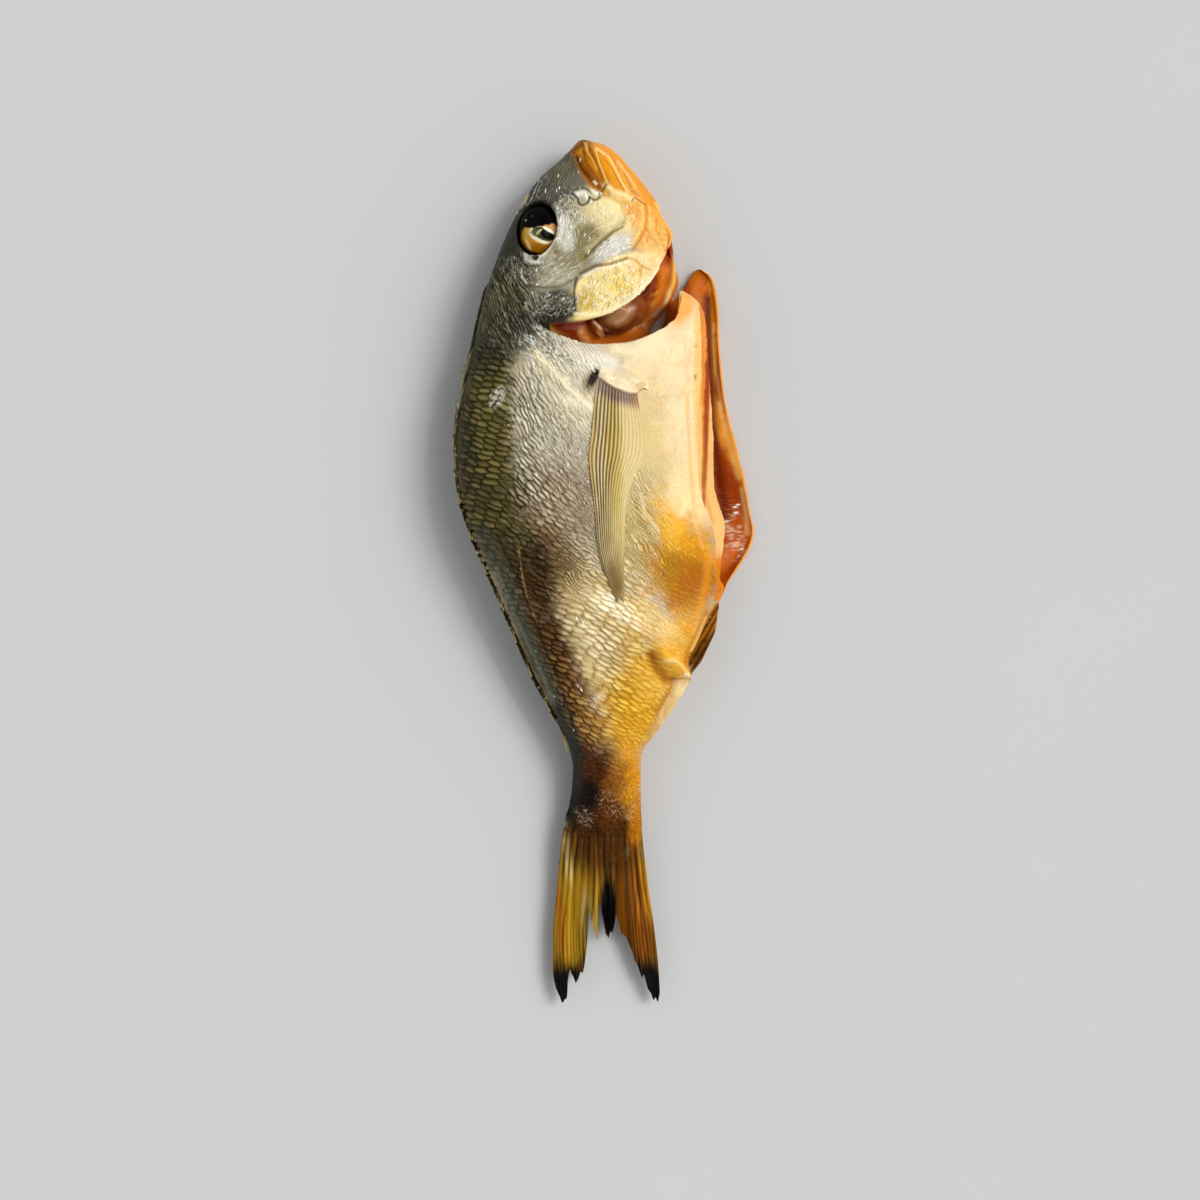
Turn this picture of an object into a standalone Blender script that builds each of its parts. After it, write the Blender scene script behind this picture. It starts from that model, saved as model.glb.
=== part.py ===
"""A whole smoked sea bream, gutted through the belly, lying on its left flank.

Frame: +Y points to the snout, +X to the belly, -X to the back and +Z up. The fish rests on Z = 0.
The fish is one solid: trunk, head, gill covers, lips, eyes and fins grow into each other.
Lengths are written in millimetres, and MM turns them into Blender's metres.
"""

import math

import bmesh
import bpy
import numpy as np

MM = 0.001

# Driving dimensions.
SNOUT_Y = 150.0
SHOULDER_Y = 99.0
NAPE_Y = 87.0
CHIN_Y = 115.0
TAIL_ROOT_Y = -92.0
TAIL_END_Y = -150.0
BELLY_WALL = 3.2
GILL_COVER = 2.2
KEEL_RADIUS = 1.6
RIDGE_RADIUS = 0.5
FIN_THICKNESS = 1.4
SKIN_COLOUR = (0.40, 0.28, 0.11, 1.0)

# Outline of the fish seen from the flank, as (Y, X) keys.
BACK = [
    (150, -8), (145, -12.5), (136, -22), (124, -29.5), (105, -37.5), (88, -42), (70, -46.2), (46, -49.8),
    (32, -49.3), (15, -45), (-5, -36.5), (-37, -22.5), (-58, -12), (-68, -9.8), (-92, -13.2),
]
JAW = [
    (150, -4), (149.2, -1.2), (146.3, 3.6), (141, 8.4), (131, 16.5), (120.4, 22.4), (117.5, 24),
    (114.5, 23.4),
]
NEAR_FLAP = [
    (99, 28), (96, 32.5), (92.5, 34.6), (88, 35.6), (74, 36.3), (52, 38), (30, 38.6), (16, 42.3), (6, 41.2),
    (-9.6, 39.6), (-20, 34.6), (-38, 25.8), (-59, 14), (-66, 12.2), (-78, 12.6), (-92, 14),
]
FAR_FLAP = [
    (99, 34.8), (97, 37.6), (91, 39.6), (74, 40.8), (58, 42.8), (36, 48.8), (21, 51.6), (15.3, 52.7),
    (10, 51.6), (-2, 44.4), (-9.6, 39.8), (-20, 34.6), (-38, 25.8), (-59, 14), (-66, 12.2), (-78, 12.6),
    (-92, 14),
]
# How much further the cut belly wall reaches than the skin over it, as (Y, reach) keys.
NEAR_CUT_FACE = [(99, 0.1), (92, 1), (70, 2), (52, 5), (22, 5), (9, 2), (-9, 0.5), (-92, 0.5)]
# Front edge of each side of the trunk, as (X, Y) keys.
NEAR_SHOULDER = [
    (-60, 107), (-40, 104), (-19.6, 86.4), (-12, 83), (-4, 80.1), (4.7, 80.1), (13.4, 81.9), (20.5, 85),
    (25, 89.5), (27.3, 95.1), (28, 99), (60, 99),
]
FAR_SHOULDER = [
    (-60, 107), (-40, 104), (-20, 90), (-4, 84), (8, 83), (20, 86.5), (29, 97.8), (34.6, 106.5), (60, 106.5),
]

# Heights along the fish, as (Y, Z) keys.
RIDGE_HEIGHT = [(150, 13), (117, 15.5), (88, 17), (20, 17), (-26, 14), (-65, 10.5), (-92, 7.5)]
NEAR_EDGE_HEIGHT = [(150, 12), (117, 12), (95, 11), (15, 10), (-8, 9), (-65, 9.5), (-92, 7.5)]
FAR_EDGE_HEIGHT = [(150, 12), (117, 9), (100, 3), (12, 2.8), (-8, 9), (-65, 9.5), (-92, 7.5)]
EDGE_RADIUS = [(150, KEEL_RADIUS), (-66, KEEL_RADIUS), (-92, 0.5)]
HALF_THICKNESS = [
    (150, 4.2), (146, 7), (137, 10.5), (124, 13.2), (105, 15.8), (88, 17.5), (57, 18.5), (36, 18.3), (15, 17),
    (-6, 14.8), (-26, 12), (-47, 9), (-65, 6.5), (-79, 4.0), (-92, 0.8),
]

# Tail fin: how far it reaches across its width, from the upper lobe at 0 to the lower lobe at 1.
TAIL_REACH = [
    (0, 0.72), (0.035, 0.92), (0.085, 1.0), (0.134, 0.966), (0.166, 0.829), (0.21, 0.907), (0.3, 0.83),
    (0.364, 0.568), (0.436, 0.71), (0.45, 0.441), (0.519, 0.68), (0.584, 0.65), (0.631, 0.555), (0.668, 0.64),
    (0.716, 0.678), (0.793, 0.806), (0.845, 0.891), (0.858, 0.866), (0.885, 0.926), (0.94, 0.984),
    (0.98, 1.0), (1.0, 0.9),
]
PECTORAL_BACK_EDGE = [(69, -1.5), (50, -3.6), (41, -4.3), (26, -2.7), (5, -0.2), (-6.5, 4.6)]
PECTORAL_BELLY_EDGE = [(69, 13.4), (50, 16.4), (42, 16), (36, 13), (26, 9), (5, 7.8), (-6.5, 6.6)]
ANAL_FIN_REACH = [(-61, 0.4), (-52, 2.2), (-38, 2.6), (-33, 1.8), (-24, 4.2), (-16, 3.2), (-9, 0.6)]

EYE_PLACE = (-22.6, 119.5)
EYE_RADII = (6.6, 8.6, 6.0)
SOCKET_RADII = (7.3, 9.5, 6.6)
EYE_TURN = math.radians(-10)


def curve(keys, at):
    """The smooth curve through (place, value) keys, read at the places in at, with no overshoot."""
    place, value = np.array(sorted(keys), float).T
    rise = np.diff(value) / np.diff(place)
    left = np.append(rise[0], rise)
    right = np.append(rise, rise[-1])
    limit = 3 * np.minimum(np.abs(left), np.abs(right)) * (left * right > 0)
    slope = np.clip((left + right) / 2, -limit, limit)
    at = np.clip(np.asarray(at, float), place[0], place[-1])
    i = np.clip(np.searchsorted(place, at) - 1, 0, len(rise) - 1)
    width = place[i + 1] - place[i]
    t = (at - place[i]) / width
    blend = t * t * (3 - 2 * t)
    bends = slope[i] * t * (1 - t) ** 2 - slope[i + 1] * t * t * (1 - t)
    return value[i] * (1 - blend) + value[i + 1] * blend + width * bends


def ramp(low, high, at):
    """0 below low, 1 above high, and smooth between."""
    t = np.clip((np.asarray(at, float) - low) / (high - low), 0, 1)
    return t * t * (3 - 2 * t)


def swell(q, back_power, belly_power):
    """A bulge across the fish: 0 at both edges and 1 at its thickest."""
    peak = back_power / (back_power + belly_power)
    top = peak**back_power * (1 - peak) ** belly_power
    q = np.clip(q, 0, 1)
    return q**back_power * (1 - q) ** belly_power / top


def across(count, power=1.0):
    """Places from 0 to 1, closer together near both ends."""
    return (0.5 - 0.5 * np.cos(np.pi * np.linspace(0, 1, count))) ** power


def belly_side(y):
    """X of the belly side of the upper flank: the jaw in front, then the flap and the keel."""
    throat = 23.4 + (112 - y) / 13 * 4.6
    return np.where(y > 112, curve(JAW, y), np.where(y > 99, throat, curve(NEAR_FLAP, y)))


def upper_height(x, y):
    """Height of the upper flank's skin over the point (x, y)."""
    back = curve(BACK, y)
    q = np.clip((x - back) / (belly_side(y) - back), 0, 1)
    middle = curve(RIDGE_HEIGHT, y) * (1 - q) + (curve(NEAR_EDGE_HEIGHT, y) + curve(EDGE_RADIUS, y)) * q
    return middle + curve(HALF_THICKNESS, y) * swell(q, 0.5, 0.75)


def lower_height(q, y, rim):
    """Height of the lower flank's skin, pressed flat where it lies on the table."""
    middle = curve(RIDGE_HEIGHT, y) * (1 - q) + (rim - curve(EDGE_RADIUS, y)) * q
    z = middle - curve(HALF_THICKNESS, y) * swell(q, 0.5, 0.6)
    return 0.5 * (z + np.sqrt(z * z + 2.0)) * ramp(-3, 3, z)


def skin_ring(side, skin_share):
    """A cross-section as points from the back over the upper side, round the belly edge and back
    under the lower side. The upper skin reaches skin_share of the way, and the cut wall the rest.
    """
    q = across(15) * skin_share
    over = np.column_stack([*side.near(q), side.upper(q)])
    q = across(15)[::-1]
    q = q * side.ratio + q**8 * (1 - side.ratio)
    under = np.column_stack([*side.far(q), side.lower(q)])
    over[0, 2] += RIDGE_RADIUS
    under[-1, 2] -= RIDGE_RADIUS
    top = np.array([*side.near(1.0), side.upper(1.0)])
    low = under[0]
    bulge = min(KEEL_RADIUS, (top[2] - low[2]) / 2)
    edge = [top + (low - top) * t + (bulge * out, 0, 0) for t, out in ((0.2, 0.7), (0.5, 1.0), (0.8, 0.7))]
    return np.vstack([over, edge, under])


def hollow_ring(side, size, span, walls, outward):
    """A cross-section of the hollow that runs out through the belly edge.

    size goes from 0, shut, to 1, fully open. span holds the shares across the fish where the hollow
    ends and where it meets the edge. walls holds the thickness of body left beside it: the least, what
    is added at the depth and what is added at the edge. outward is the way out past the edge.
    """
    s = np.linspace(0, 1.25, 9)
    depth, mouth = span
    least, at_depth, at_edge = walls
    start = depth + (mouth - depth) * 0.8 * (1 - size)
    q = start + (mouth - start) * np.clip(s, 0, 1)
    inside = least + at_depth * np.clip(1 - s, 0, 1) + at_edge * np.clip(s, 0, 1) ** 6
    ceiling = side.upper(q) - inside
    floor = side.lower(q) + inside
    middle = (ceiling + floor) / 2
    open_share = np.clip(s * (2 - s), 0, 1) ** 0.4 * (s < 1) + (s >= 1)
    half = np.clip((ceiling - floor) / 2, 0.6, None) * np.clip(open_share, 0.04, 1) * (0.05 + 0.95 * size)
    over_x, over_y = side.near(q)
    far_x, far_y = side.far(q)
    spread = np.clip(s, 0, 1) ** 0.8
    past = np.outer(np.clip(s - 1, 0, 1) / 0.25, [*outward, 0])
    under_x = over_x + (far_x - over_x) * spread
    under_y = over_y + (far_y - over_y) * spread
    above = np.column_stack([over_x, over_y, middle + half]) + past
    below = np.column_stack([under_x, under_y, middle - half]) + past
    return np.vstack([above, below[::-1]])


class TrunkSides:
    """Where the two sides of the trunk run at one station along it."""

    def __init__(self, station):
        self.station = station
        self.share = np.clip(1 - (SHOULDER_Y - station) / 60, 0, 1)
        self.back = curve(BACK, station) + 1.5 * ramp(92, 99, station)
        self.near_edge = curve(NEAR_FLAP, station)
        self.far_edge = curve(FAR_FLAP, station)
        self.rim = curve(FAR_EDGE_HEIGHT, station)
        self.ratio = (self.near_edge - self.back) / (self.far_edge - self.back)

    def place(self, q, edge, shoulder):
        """(X, Y) at a share q across, bent forward to follow the shoulder's edge."""
        x = self.back + q * (edge - self.back)
        return x, self.station + (curve(shoulder, x) - SHOULDER_Y) * self.share

    def near(self, q):
        """(X, Y) on the upper side."""
        return self.place(q, self.near_edge, NEAR_SHOULDER)

    def far(self, q):
        """(X, Y) on the lower side."""
        return self.place(q, self.far_edge, FAR_SHOULDER)

    def dip(self, x, y):
        """How deep the front of the back sinks into the head, so that no step shows."""
        return 3.5 * ramp(97, 106, y) * ramp(0, 3, x - self.back) * (1 - ramp(-30, -18, x))

    def upper(self, q):
        """Height of the upper skin."""
        x, y = self.near(q)
        return upper_height(x, y) - self.dip(x, y)

    def lower(self, q):
        """Height of the lower skin."""
        x, y = self.far(q)
        return lower_height(np.clip(q, 0, 1), y, self.rim) + self.dip(x, y)

    def skin_share(self):
        """How far across the upper skin reaches before the cut."""
        return 1 - curve(NEAR_CUT_FACE, self.station) / (self.near_edge - self.back)


class HeadSides:
    """Where the two sides of the head run, at a share u from the snout to the gill covers' hind edge.

    Each station leans from the back to the chin, and bends towards the tail as the gill covers do.
    """

    def __init__(self, u):
        back_y = SNOUT_Y + (NAPE_Y - SNOUT_Y) * u
        jaw_y = SNOUT_Y + (CHIN_Y - SNOUT_Y) * u
        self.start = np.array([curve(BACK, back_y) + 1.5 * ramp(0.84, 1.0, u), back_y])
        self.end = np.array([curve(JAW, jaw_y), jaw_y])
        self.ratio = 1.0
        self.bend = float(ramp(0.35, 1.0, u)) ** 1.5
        self.parted = float(ramp(0.62, 0.88, u))
        self.tuck = 3.5 * float(ramp(0.84, 1.0, u))
        self.rim = curve(NEAR_EDGE_HEIGHT, jaw_y) - 6.0 * self.parted

    def place(self, q, powers, sweep):
        """(X, Y) at a share q across, swept towards the tail."""
        reach = swell(q, *powers) * self.bend
        x = self.start[0] + q * (self.end - self.start)[0] + reach * sweep[0]
        return x, self.start[1] + q * (self.end - self.start)[1] + reach * sweep[1]

    def near(self, q):
        """(X, Y) on the upper side."""
        return self.place(q, (1.5, 0.75), (0, -16.2))

    def far(self, q):
        """(X, Y) on the lower side."""
        return self.place(q, (0.95, 0.75), (17.2, -21.5))

    def nape(self, q):
        """How deep the nape tucks under the trunk's skin."""
        return self.tuck * ramp(0, 0.03, q) * (1 - ramp(0.12, 0.34, q))

    def upper(self, q):
        """Height of the upper skin, where the gill cover stands proud of the shoulder."""
        return upper_height(*self.near(q)) + 0.8 * self.parted * ramp(0.3, 0.45, q) - self.nape(q)

    def lower(self, q):
        """Height of the lower skin."""
        return lower_height(np.clip(q, 0, 1), self.far(q)[1], self.rim) + 0.36 + self.nape(q)


def link(name, mesh):
    """A mesh object of this name in the scene, smooth shaded."""
    mesh.shade_smooth()
    obj = bpy.data.objects.new(name, mesh)
    bpy.context.scene.collection.objects.link(obj)
    return obj


def close(built, row):
    """Cap a ring with a strip of faces, each between a point and the one that mirrors it."""
    i, j = 0, len(row) - 1
    while j - i > 2:
        built.faces.new((row[i], row[i + 1], row[j - 1], row[j]))
        i, j = i + 1, j - 1
    if j - i == 2:
        built.faces.new((row[i], row[i + 1], row[j]))


def loft(name, rings):
    """A closed mesh object through rings of as many points each, with both ends capped."""
    built = bmesh.new()
    rows = [[built.verts.new(point * MM) for point in ring] for ring in rings]
    for row, after in zip(rows, rows[1:]):
        for i, vert in enumerate(row):
            j = (i + 1) % len(row)
            built.faces.new((vert, row[j], after[j], after[i]))
    for row in (rows[0], rows[-1]):
        close(built, row)
    bmesh.ops.recalc_face_normals(built, faces=built.faces)
    if built.calc_volume(signed=True) < 0:
        bmesh.ops.reverse_faces(built, faces=built.faces)
    mesh = bpy.data.meshes.new(name)
    built.to_mesh(mesh)
    built.free()
    return link(name, mesh)


def slab(name, top, bottom):
    """A closed plate between two grids of points, top and bottom, each of rows by columns."""
    return loft(name, [np.vstack([over, under[::-1]]) for over, under in zip(top, bottom)])


def ball(name, centre, radii, turn=0.0, segments=16, rings=9):
    """An ellipsoid with three radii, turned about +Z, as one closed mesh object."""
    angle = np.linspace(0, 2 * math.pi, segments + 1)[:-1]
    across_axis = np.column_stack([np.cos(angle) * radii[0], np.sin(angle) * radii[1]])
    spin = np.array([[math.cos(turn), math.sin(turn)], [-math.sin(turn), math.cos(turn)]])
    circle = across_axis @ spin
    rows = []
    for tilt in np.linspace(-0.497, 0.497, rings) * math.pi:
        height = np.full(segments, radii[2] * math.sin(tilt))
        rows.append(np.column_stack([circle * math.cos(tilt), height]) + np.array(centre))
    return loft(name, rows)


def trunk():
    """The trunk, from the shoulder with its two belly flaps to the tail root."""
    stations = np.concatenate([np.linspace(SHOULDER_Y, -20, 24), np.linspace(-28, TAIL_ROOT_Y, 9)])
    sides = [TrunkSides(station) for station in stations]
    return loft("fish", [skin_ring(side, side.skin_share()) for side in sides])


def belly_hollow():
    """The gutted hollow, open at the shoulder and along the belly to the vent."""
    rings = []
    for station in np.concatenate([np.linspace(106, 20, 15), np.linspace(14, -8, 6)]):
        size = float(ramp(-10, 14, station))
        depth = 0.42 + 0.2 * float(ramp(55, 92, station))
        rings.append(hollow_ring(TrunkSides(station), size, (depth, 1.0), (BELLY_WALL, 5, 0), (8, 0)))
    return loft("belly_hollow", rings)


def head():
    """The head, from the lips to the hind edges of both gill covers."""
    sides = [HeadSides(u) for u in across(19, 1.25) * 0.997 + 0.003]
    return loft("head", [skin_ring(side, 1.0) for side in sides])


def gill_chamber():
    """The hollow between the two gill covers, open behind and at the throat."""
    rings = []
    for u in np.linspace(0.64, 1.09, 12):
        size = float(ramp(0.6, 0.88, u))
        rings.append(hollow_ring(HeadSides(u), size, (0.36, 0.97), (GILL_COVER, 1.8, 2.2), (6, -3)))
    return loft("gill_chamber", rings)


def tail_fin():
    """The forked tail fin, torn between its rays."""
    places = [place for place, _ in TAIL_REACH]
    w = np.unique(np.concatenate([places, np.linspace(0, 1, 9)]))
    reach = np.interp(w, *np.array(TAIL_REACH).T)
    root = np.column_stack([-12.4 + 26.2 * w, np.full_like(w, -83.0)])
    tip = np.column_stack([-17 + 36.5 * w, np.full_like(w, TAIL_END_Y)])
    across_fin = 0.35 + 0.65 * (4 * w * (1 - w)) ** 0.3
    top, bottom = [], []
    for step in np.linspace(0, 1, 6):
        share = (step * reach)[:, None]
        place = root + (tip - root) * share
        height = 7.5 - 2.6 * share[:, 0]
        half = FIN_THICKNESS / 2 * (1 - 0.45 * step) * across_fin
        top.append(np.column_stack([place, height + half]))
        bottom.append(np.column_stack([place, height - half]))
    return slab("tail_fin", top, bottom)


def pectoral_fin():
    """The long breast fin, laid back against the upper flank."""
    top, bottom = [], []
    w = across(7)
    for y in np.linspace(68, -4, 14):
        left = curve(PECTORAL_BACK_EDGE, y)
        right = curve(PECTORAL_BELLY_EDGE, y)
        x = left + (right - left) * w
        y_row = y - 6.5 * w * ramp(30, 68, y)
        skin = upper_height(x, y_row)
        lift = 1.3 * (0.25 + 0.75 * np.sqrt(4 * w * (1 - w))) * (0.45 + 0.55 * ramp(-6, 8, y))
        top.append(np.column_stack([x, y_row, skin + lift]))
        bottom.append(np.column_stack([x, y_row, skin - 1.5]))
    return slab("pectoral_fin", top, bottom)


def strip(name, stations, inner, reach, height, radius):
    """A folded fin along an edge: an oval strip that stands out from inner by reach at each station."""
    turn = np.linspace(0, 2 * math.pi, 9)[:-1]
    rings = []
    for y, x, out, z in zip(stations, inner, reach, height):
        around = x + (1 + np.cos(turn)) / 2 * out
        rings.append(np.column_stack([around, np.full(8, y), z + radius * np.sin(turn)]))
    return loft(name, rings)


def dorsal_fin(spines=12):
    """The back fin, folded into a notched strip along the ridge."""
    stations = np.linspace(84, -60, 3 * spines + 1)
    count = np.arange(len(stations))
    ends = np.clip(np.minimum(count, count[::-1]) / 4, 0.25, 1)
    reach = -(1.6 + 1.3 * (1 - count % 3 / 3)) * ends - 0.8
    height = curve(RIDGE_HEIGHT, stations) + 0.9
    return strip("dorsal_fin", stations, curve(BACK, stations) + 0.8, reach, height, 1.1)


def anal_fin():
    """The fin behind the vent, folded against the keel: spines in front, soft rays behind."""
    stations = np.linspace(-9, -61, 18)
    reach = curve(ANAL_FIN_REACH, stations) + 1.6
    height = curve(NEAR_EDGE_HEIGHT, stations) - 0.4
    return strip("anal_fin", stations, curve(NEAR_FLAP, stations) - 1.2, reach, height, 0.9)


def lip(name, start, end, radius, raised):
    """A lip: a long bead on the skin between two (X, Y) places, standing up by raised."""
    (x0, y0), (x1, y1) = start, end
    x, y = (x0 + x1) / 2, (y0 + y1) / 2
    length = math.hypot(x1 - x0, y1 - y0)
    z = float(upper_height(x, y)) + raised - radius
    return ball(name, (x, y, z), (length / 2, radius, radius), math.atan2(y1 - y0, x1 - x0), 14, 8)


def combine(fish, tool, operation):
    """Join or cut the fish with another object, which is then hidden."""
    modifier = fish.modifiers.new(tool.name, "BOOLEAN")
    modifier.operation = operation
    modifier.solver = "EXACT"
    modifier.object = tool
    tool.hide_render = True
    tool.display_type = "WIRE"


def eyes(fish):
    """Both eyes, each a ball that grows out of the floor of its socket."""
    x, y = EYE_PLACE
    back = float(curve(BACK, y))
    share = (x - back) / float(belly_side(y) - back)
    top = float(upper_height(x, y)) - 4.6
    low = float(lower_height(share, y, curve(NEAR_EDGE_HEIGHT, y))) + 5.4
    for side, z, sign in (("upper", top, 1), ("lower", low, -1)):
        socket = ball("socket_" + side, (x, y, z + 1.2 * sign), SOCKET_RADII, EYE_TURN)
        combine(fish, socket, "DIFFERENCE")
        eye = ball("eye_" + side, (x, y, z - 0.6 * sign), EYE_RADII, EYE_TURN)
        combine(fish, eye, "UNION")


def skin_material():
    """Brown and gold smoked skin."""
    material = bpy.data.materials.new("smoked_skin")
    material.use_nodes = True
    surface = material.node_tree.nodes["Principled BSDF"]
    surface.inputs["Base Color"].default_value = SKIN_COLOUR
    surface.inputs["Roughness"].default_value = 0.35
    return material


def main():
    for obj in list(bpy.data.objects):
        bpy.data.objects.remove(obj)
    fish = trunk()
    combine(fish, belly_hollow(), "DIFFERENCE")
    skull = head()
    combine(skull, gill_chamber(), "DIFFERENCE")
    combine(fish, skull, "UNION")
    combine(fish, tail_fin(), "UNION")
    combine(fish, pectoral_fin(), "UNION")
    combine(fish, dorsal_fin(), "UNION")
    combine(fish, anal_fin(), "UNION")
    shoulder = ball("fin_root", (8.2, 71.4, float(upper_height(8.2, 71.4)) - 2.0), (9.0, 7.0, 3.2))
    combine(fish, shoulder, "UNION")
    combine(fish, ball("throat_flesh", (9.2, 92.6, 10.5), (7.4, 6.6, 9.5)), "UNION")
    combine(fish, lip("upper_lip", (-6.4, 148.0), (6.6, 135.0), 3.0, 1.0), "UNION")
    combine(fish, lip("lower_lip", (-1.5, 147.0), (15.2, 129.8), 2.6, 0.6), "UNION")
    eyes(fish)
    fish.data.materials.append(skin_material())


main()
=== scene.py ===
"""Looks of a whole smoked sea bream, gutted through the belly and lying on its left flank.

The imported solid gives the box, the place and the body that every piece rides on. Each class below is one
part of the fish: it holds its sizes in millimetres, works its skin out as whole arrays of points, and
paints it with named tints. +Y points to the snout, +X to the belly and +Z up, and the fish rests on Z = 0.
"""

from __future__ import annotations

import logging
import math
from dataclasses import dataclass, field
from enum import Enum

import bpy
import numpy as np
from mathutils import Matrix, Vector

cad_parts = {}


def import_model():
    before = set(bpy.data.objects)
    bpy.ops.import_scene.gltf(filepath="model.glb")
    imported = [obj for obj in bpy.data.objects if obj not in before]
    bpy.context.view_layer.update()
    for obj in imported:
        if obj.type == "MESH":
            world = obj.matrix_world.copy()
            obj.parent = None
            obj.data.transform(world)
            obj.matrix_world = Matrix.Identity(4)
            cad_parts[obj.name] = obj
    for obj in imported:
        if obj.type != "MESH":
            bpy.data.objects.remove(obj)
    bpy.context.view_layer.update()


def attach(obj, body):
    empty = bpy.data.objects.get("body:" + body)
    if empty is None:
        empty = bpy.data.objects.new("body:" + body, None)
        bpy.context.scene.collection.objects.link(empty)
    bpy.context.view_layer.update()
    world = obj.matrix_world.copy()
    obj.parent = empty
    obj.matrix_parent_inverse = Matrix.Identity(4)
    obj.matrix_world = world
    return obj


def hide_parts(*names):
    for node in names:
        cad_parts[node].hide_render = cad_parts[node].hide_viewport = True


LOG = logging.getLogger("smoked_bream")
Array = np.ndarray
Key = tuple[float, float]
MM = 0.001
BODY = "root"


# --- Curves and noise -------------------------------------------------------------------------------


def curve(keys: list[Key], at: Array | float) -> Array:
    """Read a smooth curve with no overshoot, a cubic between neighbouring keys.

    Args:
        keys: (place, value) pairs.
        at: places to read it at.

    Returns:
        The values there.
    """
    place, value = np.array(sorted(keys), float).T
    rise = np.diff(value) / np.diff(place)
    left, right = np.append(rise[0], rise), np.append(rise, rise[-1])
    limit = 3 * np.minimum(np.abs(left), np.abs(right)) * (left * right > 0)
    slope = np.clip((left + right) / 2, -limit, limit)
    at = np.clip(np.asarray(at, float), place[0], place[-1])
    i = np.clip(np.searchsorted(place, at) - 1, 0, len(rise) - 1)
    width = place[i + 1] - place[i]
    t = (at - place[i]) / width
    blend = t * t * (3 - 2 * t)
    bends = slope[i] * t * (1 - t) ** 2 - slope[i + 1] * t * t * (1 - t)
    return value[i] * (1 - blend) + value[i + 1] * blend + width * bends


def ramp(low: float, high: float, at: Array | float) -> Array:
    """0 below low, 1 above high, and t*t*(3 - 2t) between."""
    t = np.clip((np.asarray(at, float) - low) / (high - low), 0, 1)
    return t * t * (3 - 2 * t)


def mix(a: Array | float, b: Array | float, share: Array | float) -> Array:
    """a where share is 0 and b where it is 1."""
    return a + (b - a) * share


def bell(at: Array, middle: float, width: float) -> Array:
    """1 at the middle and falling off to both sides, to 0.37 at one width from it."""
    return np.exp(-(((at - middle) / width) ** 2))


def turns(count: int) -> Array:
    """Angles of count points spread evenly round a circle."""
    return np.linspace(0, 2 * math.pi, count + 1)[:-1]


def swell(q: Array, back_power: float, belly_power: float) -> Array:
    """A bulge across the fish, q**a * (1 - q)**b, scaled to 1 at its thickest."""
    peak = back_power / (back_power + belly_power)
    top = peak**back_power * (1 - peak) ** belly_power
    q = np.clip(q, 0, 1)
    return q**back_power * (1 - q) ** belly_power / top


def hashed(i: Array, j: Array, seed: int) -> Array:
    """An even random number from 0 to 1 for each pair of whole numbers, the same on every run."""
    n = (i.astype(np.int64) * 374761393 + j.astype(np.int64) * 668265263 + seed * 974634777) & 0xFFFFFFFF
    n = ((n ^ (n >> 13)) * 1274126177) & 0xFFFFFFFF
    n = ((n ^ (n >> 15)) * 2246822519) & 0xFFFFFFFF
    return ((n ^ (n >> 16)) & 0xFFFF) / 65535.0


def noise(a: Array, b: Array, seed: int = 0) -> Array:
    """Value noise from -1 to 1: random corners of a unit grid, joined by a smooth step."""
    i, j = np.floor(a), np.floor(b)
    u, v = a - i, b - j
    u, v = u * u * (3 - 2 * u), v * v * (3 - 2 * v)
    low = mix(hashed(i, j, seed), hashed(i + 1, j, seed), u)
    high = mix(hashed(i, j + 1, seed), hashed(i + 1, j + 1, seed), u)
    return mix(low, high, v) * 2 - 1


def layered(a: Array, b: Array, octaves: int = 4, seed: int = 0) -> Array:
    """Noise summed over octaves, each twice as fine and 0.55 times as strong as the last."""
    total, size, norm = np.zeros(np.broadcast(a, b).shape), 1.0, 0.0
    for k in range(octaves):
        total = total + noise(a * 2**k + 17.3 * k, b * 2**k - 9.1 * k, seed + k) * size
        norm += size
        size *= 0.55
    return total / norm


def turned(x: Array, y: Array, degrees: float) -> tuple[Array, Array]:
    """(x, y) read on axes that are turned by degrees."""
    c, s = math.cos(math.radians(degrees)), math.sin(math.radians(degrees))
    return x * c + y * s, y * c - x * s


@dataclass(frozen=True)
class Cells:
    """What a pattern of cells says at each point: gap is where painted shade darkens the cracks, lens where
    the painted highlight on each crown lies.
    """

    height: Array
    gap: Array
    tone: Array
    lens: Array


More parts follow.
